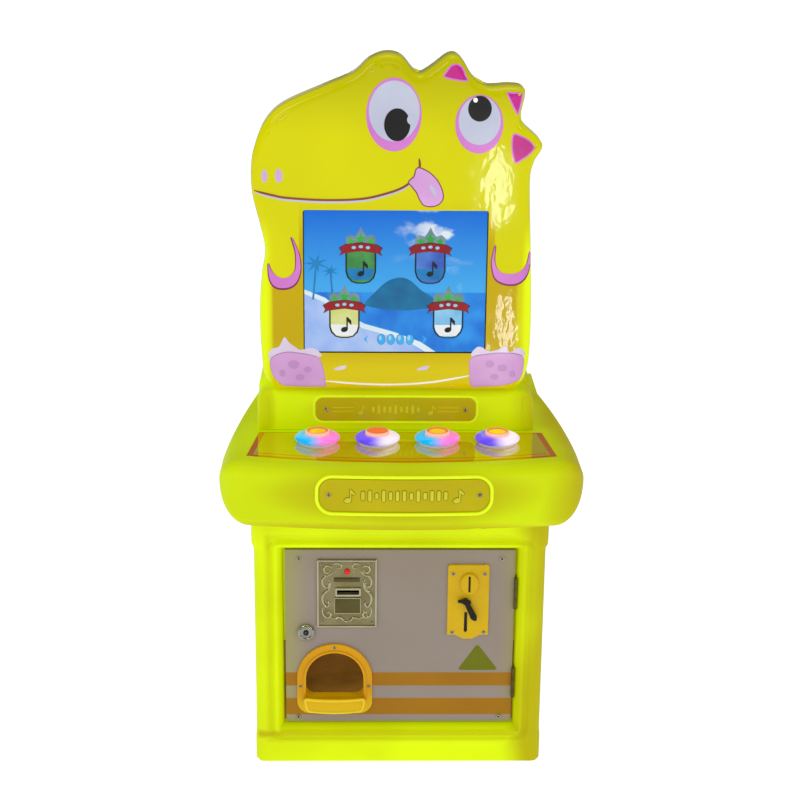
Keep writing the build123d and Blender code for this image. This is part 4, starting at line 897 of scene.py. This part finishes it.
def ribbon(name, line, half, material, surface, level):
    """A printed line of even width along 2-D points."""
    line = curve_through(line, 5, closed=False)
    left, right, n = [], [], len(line)
    for i, (x, z) in enumerate(line):
        (ax, az), (bx, bz) = line[max(i - 1, 0)], line[min(i + 1, n - 1)]
        length = hypot(bx - ax, bz - az) or 1.0
        width = half * min(1.0, 0.35 + min(i, n - 1 - i) / 4)
        nx, nz = -(bz - az) / length * width, (bx - ax) / length * width
        left.append((x + nx, z + nz))
        right.append((x - nx, z - nz))
    slab(name, left + right[::-1], surface, material, thick=0.25 * level, edge=0, slot="head_plastic")


# ---------------------------------------------------------------- screen
def picture_ink(name, a, b, scale=20.0):
    paint = Paint("picture_" + name)
    return paint.picture(paint.vary(a, b, scale), 0.9)


def make_screen():
    """A clear pane over a lit picture: sky, sea, sand, palms and four plain badge cards."""
    (gx0, gy0, gz0), (gx1, gy1, gz1) = box_mm("screen_glass")
    mid_x, mid_z = (gx0 + gx1) / 2, (gz0 + gz1) / 2
    half_x, half_z = (gx1 - gx0) / 2 - 7.0, (gz1 - gz0) / 2 - 7.0
    back = gy1 - 0.15

    def show(name, outline, ink, level):
        slab("picture_" + name, outline, back - 0.14 * level, ink, thick=0.1, edge=0, slot="lcd_picture")

    def frame_box(x0, x1, z0, z1):
        return [(x0, z0), (x1, z0), (x1, z1), (x0, z1)]

    left, right, low, high = mid_x - half_x, mid_x + half_x, mid_z - half_z, mid_z + half_z
    sky = Paint("picture_sky")
    shade = sky.mix(sky.range(sky.z, 0.80, 0.92), (66, 176, 246), (2, 112, 226))
    cloud = sky.range(sky.noise(16.0, 6.0, (1, 1, 1.8)), 0.52, 0.62)
    high_up = sky.range(sky.z, 0.835, 0.875)
    to_right = sky.range(sky.x, -0.03, 0.05)
    shade = sky.mix(sky.times(cloud, sky.times(high_up, to_right)), shade, (236, 246, 252))
    show("sky", frame_box(left, right, low, high), sky.picture(shade, 0.9), 0)
    sea = picture_ink("sea", (10, 110, 220), (50, 160, 246), 26.0)
    show("sea", frame_box(left, right, low, 792), sea, 1)
    sand = picture_ink("sand", (150, 186, 250), (196, 214, 252), 22.0)
    shore = [(left, low), (40, low), (18, 708), (-20, 722), (-62, 734), (-96, 752), (-122, 776), (left, 790)]
    show("sand", shore, sand, 2)
    foam = picture_ink("foam", (222, 242, 250), (240, 250, 252))
    wave = [(56, low), (30, 712), (-12, 728), (-58, 741), (-92, 759), (-120, 783), (left, 797), (left, 790),
            (-122, 776), (-96, 752), (-62, 734), (-20, 722), (18, 708), (40, low)]
    show("foam", wave, foam, 3)
    leaf = picture_ink("leaf", (10, 110, 176), (30, 140, 206), 40.0)
    trunk = picture_ink("trunk", (30, 110, 180), (50, 130, 200), 40.0)
    for k, (x, z, lean, scale) in enumerate(((-134, 838, 5, 1.0), (-112, 826, -4, 0.72))):
        foot_x, foot_z = x - lean, 780
        stem = [(foot_x - 1.6, foot_z), (foot_x + 1.6, foot_z), (x + 1.2, z), (x - 1.2, z)]
        show(f"trunk_{k}", stem, trunk, 4)
        rays = [(2 * pi * a / 14, (20 if a % 2 else 6) * scale) for a in range(14)]
        crown = [(x + r * cos(angle), z + r * 0.8 * sin(angle)) for angle, r in rays]
        crown = [p for p in crown if p[0] > left + 0.5]
        show(f"crown_{k}", crown, leaf, 5)
    ink = picture_ink("ink", (8, 16, 24), (18, 30, 40))
    red = picture_ink("red", (150, 16, 26), (172, 26, 34))
    snow = picture_ink("white", (244, 244, 244), (255, 255, 255))
    pale = picture_ink("pale", (150, 206, 240), (176, 220, 246))
    green = picture_ink("green", (40, 170, 60), (70, 196, 80))
    grey = picture_ink("grey", (110, 132, 146), (134, 156, 168), 60.0)
    aqua = picture_ink("aqua", (40, 170, 248), (70, 190, 252))
    rock = picture_ink("rock", (8, 96, 150), (20, 128, 176), 40.0)
    hill = [(-58, 772), (-44, 790), (-26, 808), (-6, 816), (12, 812), (30, 796), (46, 786), (60, 772),
            (20, 764), (-20, 764)]
    show("hill", curve_through(hill, 3), rock, 5)
    tones = (((40, 120, 60), (90, 170, 90)), ((60, 90, 190), (90, 140, 220)),
             ((210, 220, 110), (236, 236, 170)), ((110, 190, 240), (170, 220, 246)))
    cards = ((-64.5, 838, 47, 60), (43.5, 838, 47, 60), (-90, 748, 47, 56), (73, 748, 47, 56))

    def star(x, z, r):
        reach = (r, 0.44 * r)
        return [(x + reach[a % 2] * sin(pi * a / 5), z + reach[a % 2] * cos(pi * a / 5)) for a in range(10)]

    def shield(x, z, wide, tall):
        half = [(wide / 2, tall / 2), (wide / 2, -tall * 0.18), (wide * 0.44, -tall * 0.34),
                (wide * 0.30, -tall * 0.46), (wide * 0.12, -tall * 0.5)]
        return [(x + u, z + v) for u, v in half] + [(x - u, z + v) for u, v in half[::-1]]

    crest = ((-23, 0), (-24, 14), (-17, 20), (-9, 17), (-4, 24), (0, 32), (4, 24), (9, 17), (17, 20), (24, 14),
             (23, 0))
    ground = ((-21, -8), (21, -8), (20, -16), (13, -26), (-13, -26), (-20, -16))
    bow = ((-32, -9), (-24, -5), (0, -2), (24, -5), (32, -9), (29, -3), (33, 3), (24, 8), (0, 11), (-24, 8),
           (-33, 3), (-29, -3))
    for k, (x, z, wide, tall) in enumerate(cards):
        top, face = z + tall / 2 - 4, picture_ink(f"card_{k}", *tones[k], 30.0)
        show(f"card_{k}_crown", [(x + u, top + v) for u, v in crest], grey, 6)
        show(f"card_{k}_edge", shield(x, z - 2, wide + 1, tall), ink, 7)
        show(f"card_{k}_face", shield(x, z - 2, wide - 4, tall - 4), face, 8)
        show(f"card_{k}_ground", [(x + u, z + v) for u, v in ground], snow if k > 1 else leaf, 9)
        for m, (u, v, r) in enumerate(((-15, 9, 7.5), (0, 13, 9.5), (15, 9, 7.5))):
            show(f"card_{k}_star_{m}", star(x + u, top + v, r), green, 9 + m)
        note_z = z - 16
        show(f"card_{k}_stem", frame_box(x + 3.0, x + 5.4, note_z, note_z + 20), ink, 10)
        show(f"card_{k}_note", oval(x, note_z, 5.6, 4.2, 20, 0.3), ink, 11)
        show(f"card_{k}_flag", [(x + 5.4, note_z + 20), (x + 5.4, note_z + 13), (x + 11, note_z + 7),
                                (x + 11, note_z + 14)], ink, 11)
        show(f"card_{k}_ribbon_edge", [(x + u * 1.04, top - 4 + v * 1.1) for u, v in bow], ink, 12)
        show(f"card_{k}_ribbon", [(x + u, top - 4 + v) for u, v in bow], red, 13)
        for m in (-1, 0, 1):
            show(f"card_{k}_stud_{m + 1}", oval(x + 11 * m, top + 1 - 1.4 * abs(m), 3.4, 2.4, 14), pale, 14)
    for k, x in enumerate((-32, -17, -2, 13)):
        show(f"key_{k}_edge", oval(x, 716, 6.6, 8.8, 24), leaf, 6)
        show(f"key_{k}", oval(x, 716, 5.8, 8.0, 24), aqua, 7)
        show(f"key_{k}_shine", oval(x - 1.4, 718.5, 2.4, 4.2, 18), pale, 8)
    for k, (x, turn) in enumerate(((-56, -1), (36, 1))):
        arrow = ((-3.2, 709), (4.0, 716), (-3.2, 723), (-0.6, 716))
        show(f"arrow_{k}", [(x + u * turn, z) for u, z in arrow], aqua, 6)
    glass = Paint("clear_pane")
    glass.finish(glass.vary((244, 250, 250), (250, 252, 252), 5.0), (0.0, 0.015, 8.0), (6.0, 0.01))
    glass.socket("Transmission Weight", 1.0)
    glass.socket("IOR", 1.12)
    pane = slab("pane", rounded(mid_x, mid_z, (gx1 - gx0, gz1 - gz0), 3.0, 3), gy0 + 0.4, glass.mat, 0.4, 0.3,
                slot="screen_glass")
    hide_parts("screen_glass")
    dark = plastic("window_black", (8, 8, 8), (16, 16, 16), (0.25, 0.35))
    outer = rounded(mid_x, mid_z, (gx1 - gx0, gz1 - gz0), 4.0, 3)
    hole = rounded(mid_x, mid_z, (2 * half_x - 5.0, 2 * half_z - 3.0), 3.0, 3)
    slab("window_mask", outer, gy0 + 1.1, dark, thick=0.25, edge=0.0, holes=(hole,), slot="black_plastic")


# ---------------------------------------------------------------- door
def make_door():
    paint_node("door_panel", door_material())
    gilt = Paint("gilt_plate")
    shade = gilt.vary((168, 156, 112), (200, 188, 144), 24.0)
    gilt.finish(shade, (0.24, 0.42, 60.0), (90.0, 0.25), metal=1.0)
    bright = metal("gilt_bright", (238, 228, 186), (252, 246, 214), (0.16, 0.28))
    (x0, y0, z0), (x1, _, z1) = box_mm("ticket_plate")
    paint_node("ticket_plate", gilt.mat)
    paint_node("ticket_bezel", bright)
    mid = (x0 + x1) / 2
    rim = ccw(rounded(mid, (z0 + z1) / 2, (x1 - x0, z1 - z0), 1.5, 3))

    def on_door(name, outline, front, material, thick, edge, slot="gold_plate", **more):
        slab(name, outline, front, material, thick, edge, body="service_door", slot=slot, **more)

    on_door("ticket_rim", rim, y0, bright, 1.1, 0.8, holes=(inset(rim, 2.6),))

    def scroll(name, points, radius):
        flat = curve_through(points, 6, closed=False)
        n = len(flat)
        radii = [radius * (0.35 + 0.65 * min(1.0, 4.0 * min(i, n - 1 - i) / n)) for i in range(n)]
        tube(name, [(x, y0 - 0.2, z) for x, z in flat], radii, bright, "service_door", "gold_plate", flat=0.8)

    # Scrollwork, as (distance from the plate's middle, z) and the thickest radius.
    scrolls = (
        ("top", ((24, 347), (31, 350), (37, 346), (35, 339), (29, 338), (27, 343)), 1.7),
        ("brow", ((22, 341), (28, 334), (36, 331), (40, 323), (37, 314), (31, 312), (29, 318), (33, 321)), 1.8),
        ("side", ((29, 326), (27, 318), (30, 308), (37, 302), (40, 293), (38, 284), (33, 278), (29, 283),
                  (32, 288)), 2.0),
        ("low", ((38, 279), (40, 270), (36, 261), (29, 259), (26, 265), (30, 269), (33, 266)), 1.9),
        ("foot", ((27, 260), (19, 257), (11, 259), (6, 254), (0, 251)), 1.6),
        ("crest", ((22, 352), (15, 354), (9, 351), (11, 346), (16, 347)), 1.4),
    )
    for side, tag in ((-1, "left"), (1, "right")):
        for name, points, radius in scrolls:
            scroll(f"scroll_{tag}_{name}", [(mid + side * u, v) for u, v in points], radius)
    plate = metal("gilt_dull", (126, 116, 72), (146, 136, 88), (0.35, 0.5))
    slot_mid = (box_mm("ticket_bezel")[0][2] + box_mm("ticket_bezel")[1][2]) / 2
    on_door("ticket_label", rounded(mid, slot_mid + 21.0, (42, 7), 1.2, 3), y0, plate, 0.5, 0.3)
    window = ccw(rounded(mid + 1, slot_mid - 24.5, (43.6, 28), 1.5, 3))
    on_door("ticket_window", window, y0, plate, 0.3, 0.3)
    on_door("ticket_window_rim", window, y0, bright, 0.9, 0.3, holes=(inset(window, 1.3),))
    led = plastic("led_lens", (196, 10, 22), (224, 24, 34), (0.08, 0.16), glow=0.25, coat=0.8)
    paint_node("ticket_led", led)

    yellow = Paint("coin_yellow")
    yellow.finish(yellow.vary((208, 168, 0), (222, 184, 2), 12.0), (0.2, 0.32), (200.0, 0.04), 0.06,
                  specular=0.2, coat=0.25)
    for name in ("coin_plate", "coin_ring"):
        paint_node(name, yellow.mat)
    black = plastic("moulded_black", (14, 14, 14), (26, 25, 24), (0.25, 0.42), bump=0.06)
    for name in ("coin_lever", "coin_mech", "ticket_dispenser", "speakers", "wiring_harness", "ac_inlet",
                 "button_nuts", "button_switches"):
        paint_node(name, black)
    housing = plastic("housing_white", (206, 198, 220), (222, 216, 232), (0.2, 0.3), glow=0.25)
    paint_node("button_housings", housing)
    (cx0, cy0, cz0), (cx1, _, cz1) = box_mm("coin_ring")
    ring_x, ring_z = (cx0 + cx1) / 2, (cz0 + cz1) / 2
    # Painted shade: a dark sheet stands for the shade in the coin slot's opening.
    mouth = rounded(ring_x, ring_z, (2.6, 24), 1.2, 4)
    on_door("coin_slot", mouth, cy0 + 0.05, black, 0.12, 0.0, "black_plastic")
    lever_x, lever_z = 107.0, 289.5
    lever_y = box_mm("coin_lever")[0][1]
    slab("lever_bar", rounded(lever_x - 3.0, lever_z + 2.0, (19.5, 6.0), 2.8, 5), lever_y, black, 1.6, 0.8,
         body="coin_lever", slot="black_plastic")
    club = ((-2.6, 1.6), (7.2, -24.0), (9.4, -29.0), (13.6, -31.4), (17.8, -29.0), (18.8, -24.6), (16.6, -20.0),
            (3.6, 2.6))
    club = [(lever_x + u, lever_z + v) for u, v in club]
    slab("lever_club", curve_through(club, 4), lever_y - 0.4, black, 1.8, 1.2, body="coin_lever",
         slot="black_plastic")
    plate_y, slit_x = box_mm("coin_plate")[0][1], 108.2
    # Painted shade: a dark sheet stands for the shade in the slit.
    slit = [(slit_x + u, z) for u, z in ((-2.2, 269), (2.2, 269), (2.8, 236), (0, 232.6), (-2.8, 236))]
    on_door("coin_slit", slit, plate_y, black, 0.15, 0.0, "black_plastic")
    outlet = Paint("outlet_moulding")
    shade = outlet.vary((210, 148, 0), (222, 162, 0), 8.0)
    shade = outlet.mix(outlet.range(outlet.z, 0.10, 0.13, 0.9, 0.0, True), shade, (222, 184, 0))
    outlet.finish(shade, (0.22, 0.34), (200.0, 0.05), 0.08, specular=0.2, coat=0.2)
    paint_node("prize_outlet", outlet.mat)
    (ox0, _, oz0), (ox1, _, _) = box_mm("prize_outlet")
    out_x, face_y = (ox0 + ox1) / 2, box_mm("door_panel")[0][1] - 3.2
    ledge, crown, r = oz0 + 30.0, oz0 + 62.5, 49.5
    arch = [(out_x - r, ledge), (out_x - r, crown)]
    arch += [(out_x - r * cos(pi * k / 24), crown + r * sin(pi * k / 24)) for k in range(1, 24)]
    arch += [(out_x + r, crown), (out_x + r, ledge)]
    edge = plastic("outlet_edge", (232, 196, 20), (240, 208, 40), (0.2, 0.3), glow=0.12)
    tube("outlet_bead", [(x, face_y, z) for x, z in arch], 2.0, edge, "service_door", "outlet_orange")
    cup = ((1 - r, 2), (3 - r, -12), (10 - r, -20), (0, -23), (r - 10, -20), (r - 3, -12), (r - 1, 2))
    cup = curve_through([(out_x + u, ledge + v) for u, v in cup], 6, closed=False)
    tube("outlet_cup", [(x, face_y - 12.6, z) for x, z in cup], 1.8, edge, "service_door", "outlet_orange")
    lip = ((1 - r, 2), (-20, -0.6), (20, -0.6), (r - 1, 2))
    lip = curve_through([(out_x + u, ledge + v) for u, v in lip], 6, closed=False)
    tube("outlet_lip", [(x, face_y - 12.4, z) for x, z in lip], 2.4, edge, "service_door", "outlet_orange")
    wood = wood_material()
    for name in ("prize_bin", "floor_board"):
        paint_node(name, wood)
    chrome = metal("lock_chrome", (196, 196, 190), (224, 224, 220), (0.06, 0.14))
    for name in ("lock_barrel", "lock_cam"):
        paint_node(name, chrome)
    (lx0, ly0, lz0), (lx1, _, lz1) = box_mm("lock_barrel")
    at = ((lx0 + lx1) / 2, (lz0 + lz1) / 2)
    plug_y = box_mm("lock_cam")[0][1]
    shape = lathe([(14.0, ly0), (13.4, ly0 - 1.4), (11.5, ly0 - 2.2), (9.2, ly0 - 1.8), (8.6, ly0 + 0.4)], at)
    piece("lock_rim", *shape, chrome, "service_door", "lock_chrome")
    # Painted shade: the dark dish stands for the shade in the keyway.
    shape = lathe([(4.6, plug_y - 0.2), (3.6, plug_y - 1.0), (1.2, plug_y - 1.2), (1.15, plug_y + 1.2)], at)
    piece("lock_keyway", *shape, black, "lock_cam", "black_plastic")
    steel = metal("hinge_plate", (118, 108, 60), (146, 134, 78), (0.3, 0.45), (1, 1, 6))
    for name in ("hinge_fixed_leaves", "hinge_moving_leaves", "hinge_pins"):
        paint_node(name, steel)


def make_screws():
    """Domed screw heads, with a dark hexagon in the door's and a cross in the small ones."""
    nickel = metal("screw_nickel", (204, 202, 186), (232, 230, 216), (0.12, 0.25))
    dark = plastic("screw_recess", (8, 8, 8), (18, 17, 16), (0.4, 0.6))
    bodies = {"door_screws": "service_door", "trim_screws": "service_door", "plaque_screws": "cabinet"}
    for node, body in bodies.items():
        heads, holes = [], []
        for low, high in islands(node):
            at, r = ((low[0] + high[0]) / 2, (low[2] + high[2]) / 2), (high[2] - low[2]) / 2
            top = low[1]
            heads.append(lathe([(r, top + 1.6), (r, top + 0.9), (r * 0.85, top + 0.35), (r * 0.5, top),
                                (r * 0.02, top - 0.05)], at, 24))
            # Painted shade: the dark hexagons and crosses stand for the shade inside the screws' recesses.
            if node == "door_screws":
                hexagon = [(r * 0.46, top + 0.2), (r * 0.44, top - 0.12), (r * 0.02, top - 0.12)]
                holes.append(lathe(hexagon, at, 6))
            else:
                for wide, tall in ((r * 1.15, r * 0.24), (r * 0.24, r * 1.15)):
                    x, z, y = at[0], at[1], top - 0.1
                    corners = ((-1, -1), (1, -1), (1, 1), (-1, 1))
                    ring = [(x + u * wide / 2, z + v * tall / 2) for u, v in corners]
                    verts = [(px, y, pz) for px, pz in ring] + [(px, y + 0.5, pz) for px, pz in ring]
                    faces = [(0, 1, 2, 3)] + [(i, (i + 1) % 4, 4 + (i + 1) % 4, 4 + i) for i in range(4)]
                    holes.append((verts, faces))
        made = piece(node + "_heads", *join_shapes(heads), nickel, body, "bright_screw")
        piece(node + "_recesses", *join_shapes(holes), dark, body, "bright_screw", smooth=False)
        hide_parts(node)
    paint_node("rear_screws", nickel)


# ---------------------------------------------------------------- console and neck
def make_console():
    # Painted shade: an oval round the plaque and a band along the console's underside.
    zones = ((0.0, 0.515, 0.24, 0.055, 0.75), (-0.02, 0.452, 0.33, 0.024, 0.8))
    glow = moulding_material("lit_console", 0.04, (184, 198, 0), (192, 212, 0), zones)
    paint_node("console_shell", glow)
    paint_node("control_panel", panel_material())
    plaque = Paint("plaque_ochre")
    plaque.finish(plaque.vary((176, 162, 0), (188, 174, 0), 9.0), (0.25, 0.38), (200.0, 0.05), 0.2,
                  specular=0.12, coat=0.15)
    for name in ("neck_plaque", "console_plaque"):
        paint_node(name, plaque.mat)
    # Painted highlight: the rims round both plaques are a brighter yellow that glows more than the moulding.
    lit = plastic("rim_lit", (206, 228, 2), (218, 242, 6), (0.25, 0.35), glow=0.38)
    relief_edge = plastic("relief_edge", (84, 80, 2), (104, 98, 4), (0.3, 0.42))
    relief_face = plastic("relief_face", (196, 188, 6), (208, 202, 10), (0.25, 0.35), glow=0.2)

    def raise_up(name, outline, face, depth=0.9, bold=0.8):
        """A raised shape with a dark outline round its foot."""
        outline = ccw(outline)
        if bold:
            slab(name + "_foot", inset(outline, -bold), face, relief_edge, 0.3, 0.1, slot="glow_plastic")
        slab(name, outline, face, relief_face, depth, 0.5, slot="glow_plastic")

    (x0, _, z0), (x1, _, z1) = box_mm("console_plaque")
    mid, mid_z = (x0 + x1) / 2, (z0 + z1) / 2
    console_low, console_high = box_mm("console_shell")
    half, bow = (console_high[0] - console_low[0]) / 2, 28.0
    bow_r = (half * half + bow * bow) / (2 * bow)

    def bowed(x, _):
        """Y of the console's bowed front."""
        return console_low[1] + bow_r - sqrt(bow_r * bow_r - x * x) + 0.15

    ring = dense(ccw(rounded(mid, mid_z, (x1 - x0 + 9, z1 - z0 + 9), 24.0, 12)))
    shell = nodes["console_shell"].data
    tree = BVHTree.FromPolygons([v.co for v in shell.vertices], [tuple(p.vertices) for p in shell.polygons])
    # The rim lies on the shell, where a ray from the front meets it.
    hits = [tree.ray_cast(Vector((x * MM, -1.0, z * MM)), Vector((0, 1, 0)))[0] for x, z in ring]
    line = [(x, hit.y / MM - 0.3, z) for (x, z), hit in zip(ring, hits)]
    tube("console_plaque_rim", line, 2.6, lit, slot="glow_plastic", closed=True, flat=0.8)
    (nx0, ny0, nz0), (nx1, _, nz1) = box_mm("neck_plaque")
    n_mid, n_mid_z = (nx0 + nx1) / 2, (nz0 + nz1) / 2
    ring = ccw(rounded(n_mid, n_mid_z, (nx1 - nx0 + 5, nz1 - nz0 + 5), 14.0, 10))
    face_y = box_mm("neck_shell")[0][1]
    line = [(x, face_y + 0.1, z) for x, z in ring]
    tube("neck_plaque_rim", line, 2.0, lit, slot="glow_plastic", closed=True, flat=0.8)

    def note(name, x, z, size, face, bold):
        raise_up(name + "_head", oval(x, z, 0.32 * size, 0.24 * size, 20, 0.35), face, 0.9, bold)
        stem = [(x + u * size, z + v * size) for u, v in ((0.18, 0), (0.31, 0), (0.31, 1), (0.18, 1))]
        raise_up(name + "_stem", stem, face, 0.95, bold)
        flag = [(x + u * size, z + v * size) for u, v in ((0.28, 1), (0.28, 0.68), (0.52, 0.46), (0.62, 0.62))]
        raise_up(name + "_flag", flag, face, 1.0, bold)

    def plaque_face(x, z):
        return bowed(x, z) + 0.15

    # A row of equaliser bars between two notes stands where wording would be.
    for k in range(13):
        tall = 9 + 10 * abs(sin(1.3 * k + 0.6))
        raise_up(f"console_bar_{k}", rounded(mid - 63 + k * 10.5, mid_z, (5.4, tall), 2.2, 3), plaque_face)
    note("console_note_left", mid - 86, mid_z - 8, 18, plaque_face, 0.8)
    note("console_note_right", mid + 80, mid_z - 8, 18, plaque_face, 0.8)
    for side in (-1, 1):
        for k in (-1, 1):
            outline = rounded(n_mid + side * 84, n_mid_z + k * 3.2, (34, 1.6), 0.7, 2)
            raise_up(f"neck_line_{side + 1}_{k + 1}", outline, ny0, 0.5, 0.0)
        note(f"neck_note_{side + 1}", n_mid + side * 56, n_mid_z - 6, 13, lambda x, z: ny0, 0.0)
    for k in range(9):
        tall = 6 + 9 * abs(sin(1.1 * k + 0.4))
        raise_up(f"neck_bar_{k}", rounded(n_mid - 36 + k * 9, n_mid_z, (4.4, tall), 1.8, 3), ny0, 0.5, 0.0)


def make_neck():
    """The neck: a front and a rear step with round shoulders, and a pilaster at each side."""
    (x0, y0, z0), (x1, y1, top) = box_mm("neck_shell")
    ledge, step_y = box_mm("head_front")[0][2] - 2.0, box_mm("head_front")[1][1] + 3.0
    # Painted shade: on the left pilaster, in a band under the head and across the middle of the neck.
    zones = ((-0.216, 0.595, 0.02, 0.07, 0.55), (0.0, 0.632, 0.25, 0.016, 0.6),
             (-0.01, 0.597, 0.17, 0.032, 0.5))
    glow = moulding_material("lit_neck", -0.004, (196, 214, 0), (206, 228, 0), zones)

    def body(name, high, radius, front, back):
        corner = [(x0 + radius * (1 - cos(pi / 2 * k / 8)), high - radius * (1 - sin(pi / 2 * k / 8)))
                  for k in range(1, 9)]
        left = [(x0, z0), (x0, high - radius)] + corner
        right = [(x0 + x1 - x, z) for x, z in reversed(left)]
        outline = ccw(left + [(x0 + (x1 - x0) * k / 24, high) for k in range(3, 22)] + right)
        low_z = min(z for _, z in outline)
        rings = ((0.0, back), (0.0, front + 9), (0.9, front + 5), (2.8, front + 1.8), (6.0, front + 0.2))
        n = len(outline)
        verts = [(x, y, max(z, low_z)) for margin, y in rings for x, z in inset(outline, margin)]
        faces = strips(n, len(rings)) + [tuple(range(n))]
        points, tris = fill([(x, max(z, low_z)) for x, z in inset(outline, rings[-1][0])])
        start = len(verts)
        verts += [(x, rings[-1][1], z) for x, z in points]
        faces += [tuple(start + i for i in f) for f in tris]
        return piece(name, verts, faces, glow, slot="glow_plastic", sharp=0.8)

    front = body("neck_front", ledge, 24.0, y0, step_y)
    body("neck_rear", top, 26.0, step_y - 4.0, y1)
    for side, x in ((0, x0 + 12.0), (1, x1 - 12.0)):
        outline = rounded(x, (z0 + ledge) / 2 - 3, (13.0, ledge - z0 - 16), 5.0, 5)
        slab(f"neck_pilaster_{side}", outline, y0, glow, 1.6, 2.2, slot="glow_plastic")
    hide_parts("neck_shell")


# A button's turned profiles, (radius, height above the panel): its lit dome, then its cap.
DOME = ((17.0, 12.0), (19.0, 14.2), (25.0, 14.0), (30.0, 13.0), (33.6, 11.2), (35.6, 8.8), (35.4, 6.6),
        (34.0, 5.0), (32.2, 4.7), (31.0, 8.6), (18.0, 9.0))
CAP = ((18.6, 13.0), (19.4, 15.5), (18.8, 18.4), (17.2, 19.4), (14.6, 19.2), (13.4, 18.0), (6.0, 18.2),
       (0.1, 18.3))


def make_buttons():
    cyan, pink, violet, white = (0, 178, 250), (250, 118, 216), (98, 66, 250), (240, 226, 250)
    for k in range(1, 5):
        low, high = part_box(f"button_{k}_lens")
        x = (low.x + high.x) / 2
        sides = (cyan, pink) if k % 2 else (violet, white)
        at, seat = (x / MM, (low.y + high.y) / 2 / MM), box_mm("control_panel")[1][2]
        made = piece(f"button_{k}_dome", *lathe(DOME, at, 48, seat), lens_material(f"lens_{k}", x, *sides),
                     f"button_{k}", "lens_cyan_pink" if k % 2 else "lens_violet_white")
        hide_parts(f"button_{k}_lens")
        (cx0, cy0, _), (cx1, cy1, _) = box_mm(f"button_{k}_cap")
        cap = Paint(f"cap_{k}")
        dx = cap.less(cap.x, (cx0 + cx1) / 2 * MM)
        dy = cap.less(cap.y, (cy0 + cy1) / 2 * MM)
        far = cap.math("SQRT", cap.plus(cap.times(dx, dx), cap.times(dy, dy)))
        disc = ((250, 96, 40), (252, 110, 54)) if k == 2 else ((252, 196, 24), (255, 214, 40))
        shade = cap.mix(cap.range(far, 0.0128, 0.0134), cap.vary(*disc, 30.0), (242, 106, 96))
        shade = cap.mix(cap.range(far, 0.0166, 0.0172), shade, (252, 190, 170))
        cap.finish(shade, (0.12, 0.22), (200.0, 0.03), 0.4, coat=0.5)
        made = piece(f"button_{k}_top", *lathe(CAP, at, 48, seat), cap.mat, f"button_{k}", "cap_orange")
        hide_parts(f"button_{k}_cap")
        paint_node(f"button_{k}_spring", nodes["hinge_pins"].data.materials[0])


# ---------------------------------------------------------------- back and inside
def make_rest():
    zinc = metal("zinc_sheet", (150, 154, 156), (186, 190, 192), (0.3, 0.5), (1, 1, 4))
    for name in ("rear_cover", "lcd_bracket", "power_supply", "coin_box"):
        paint_node(name, zinc)
    rubber = plastic("black_rubber", (18, 18, 18), (30, 29, 28), (0.6, 0.8), bump=0.15)
    for name in ("levelling_feet", "ticket_roller"):
        paint_node(name, rubber)
    sheet = plastic("head_back_sheet", (206, 200, 2), (216, 214, 6), (0.3, 0.45), glow=0.35, bump=0.08)
    paint_node("head_back", sheet)
    paint_node("led_strips", plastic("lamp_strip", (236, 236, 226), (250, 250, 244), glow=0.9))
    paint_node("power_rocker", plastic("rocker_red", (150, 16, 18), (176, 26, 26), (0.2, 0.3), glow=0.1))
    paint_node("lcd_panel", plastic("lcd_back", (20, 22, 26), (34, 36, 40), (0.35, 0.5)))
    board = Paint("circuit_board")
    tracks = board.range(board.noise(260.0, 1.0, (1, 1, 0.2)), 0.5, 0.56)
    shade = board.mix(board.times(tracks, 0.6), board.vary((10, 84, 38), (16, 100, 46), 20.0), (150, 140, 60))
    paint_node("main_board", board.finish(shade, (0.3, 0.45), (260.0, 0.1)))


make_camera()
make_studio()
make_base()
surface = head_surface()
make_head(surface)
make_face(surface)
make_screen()
make_door()
make_neck()
make_console()
make_buttons()
make_screws()
make_rest()
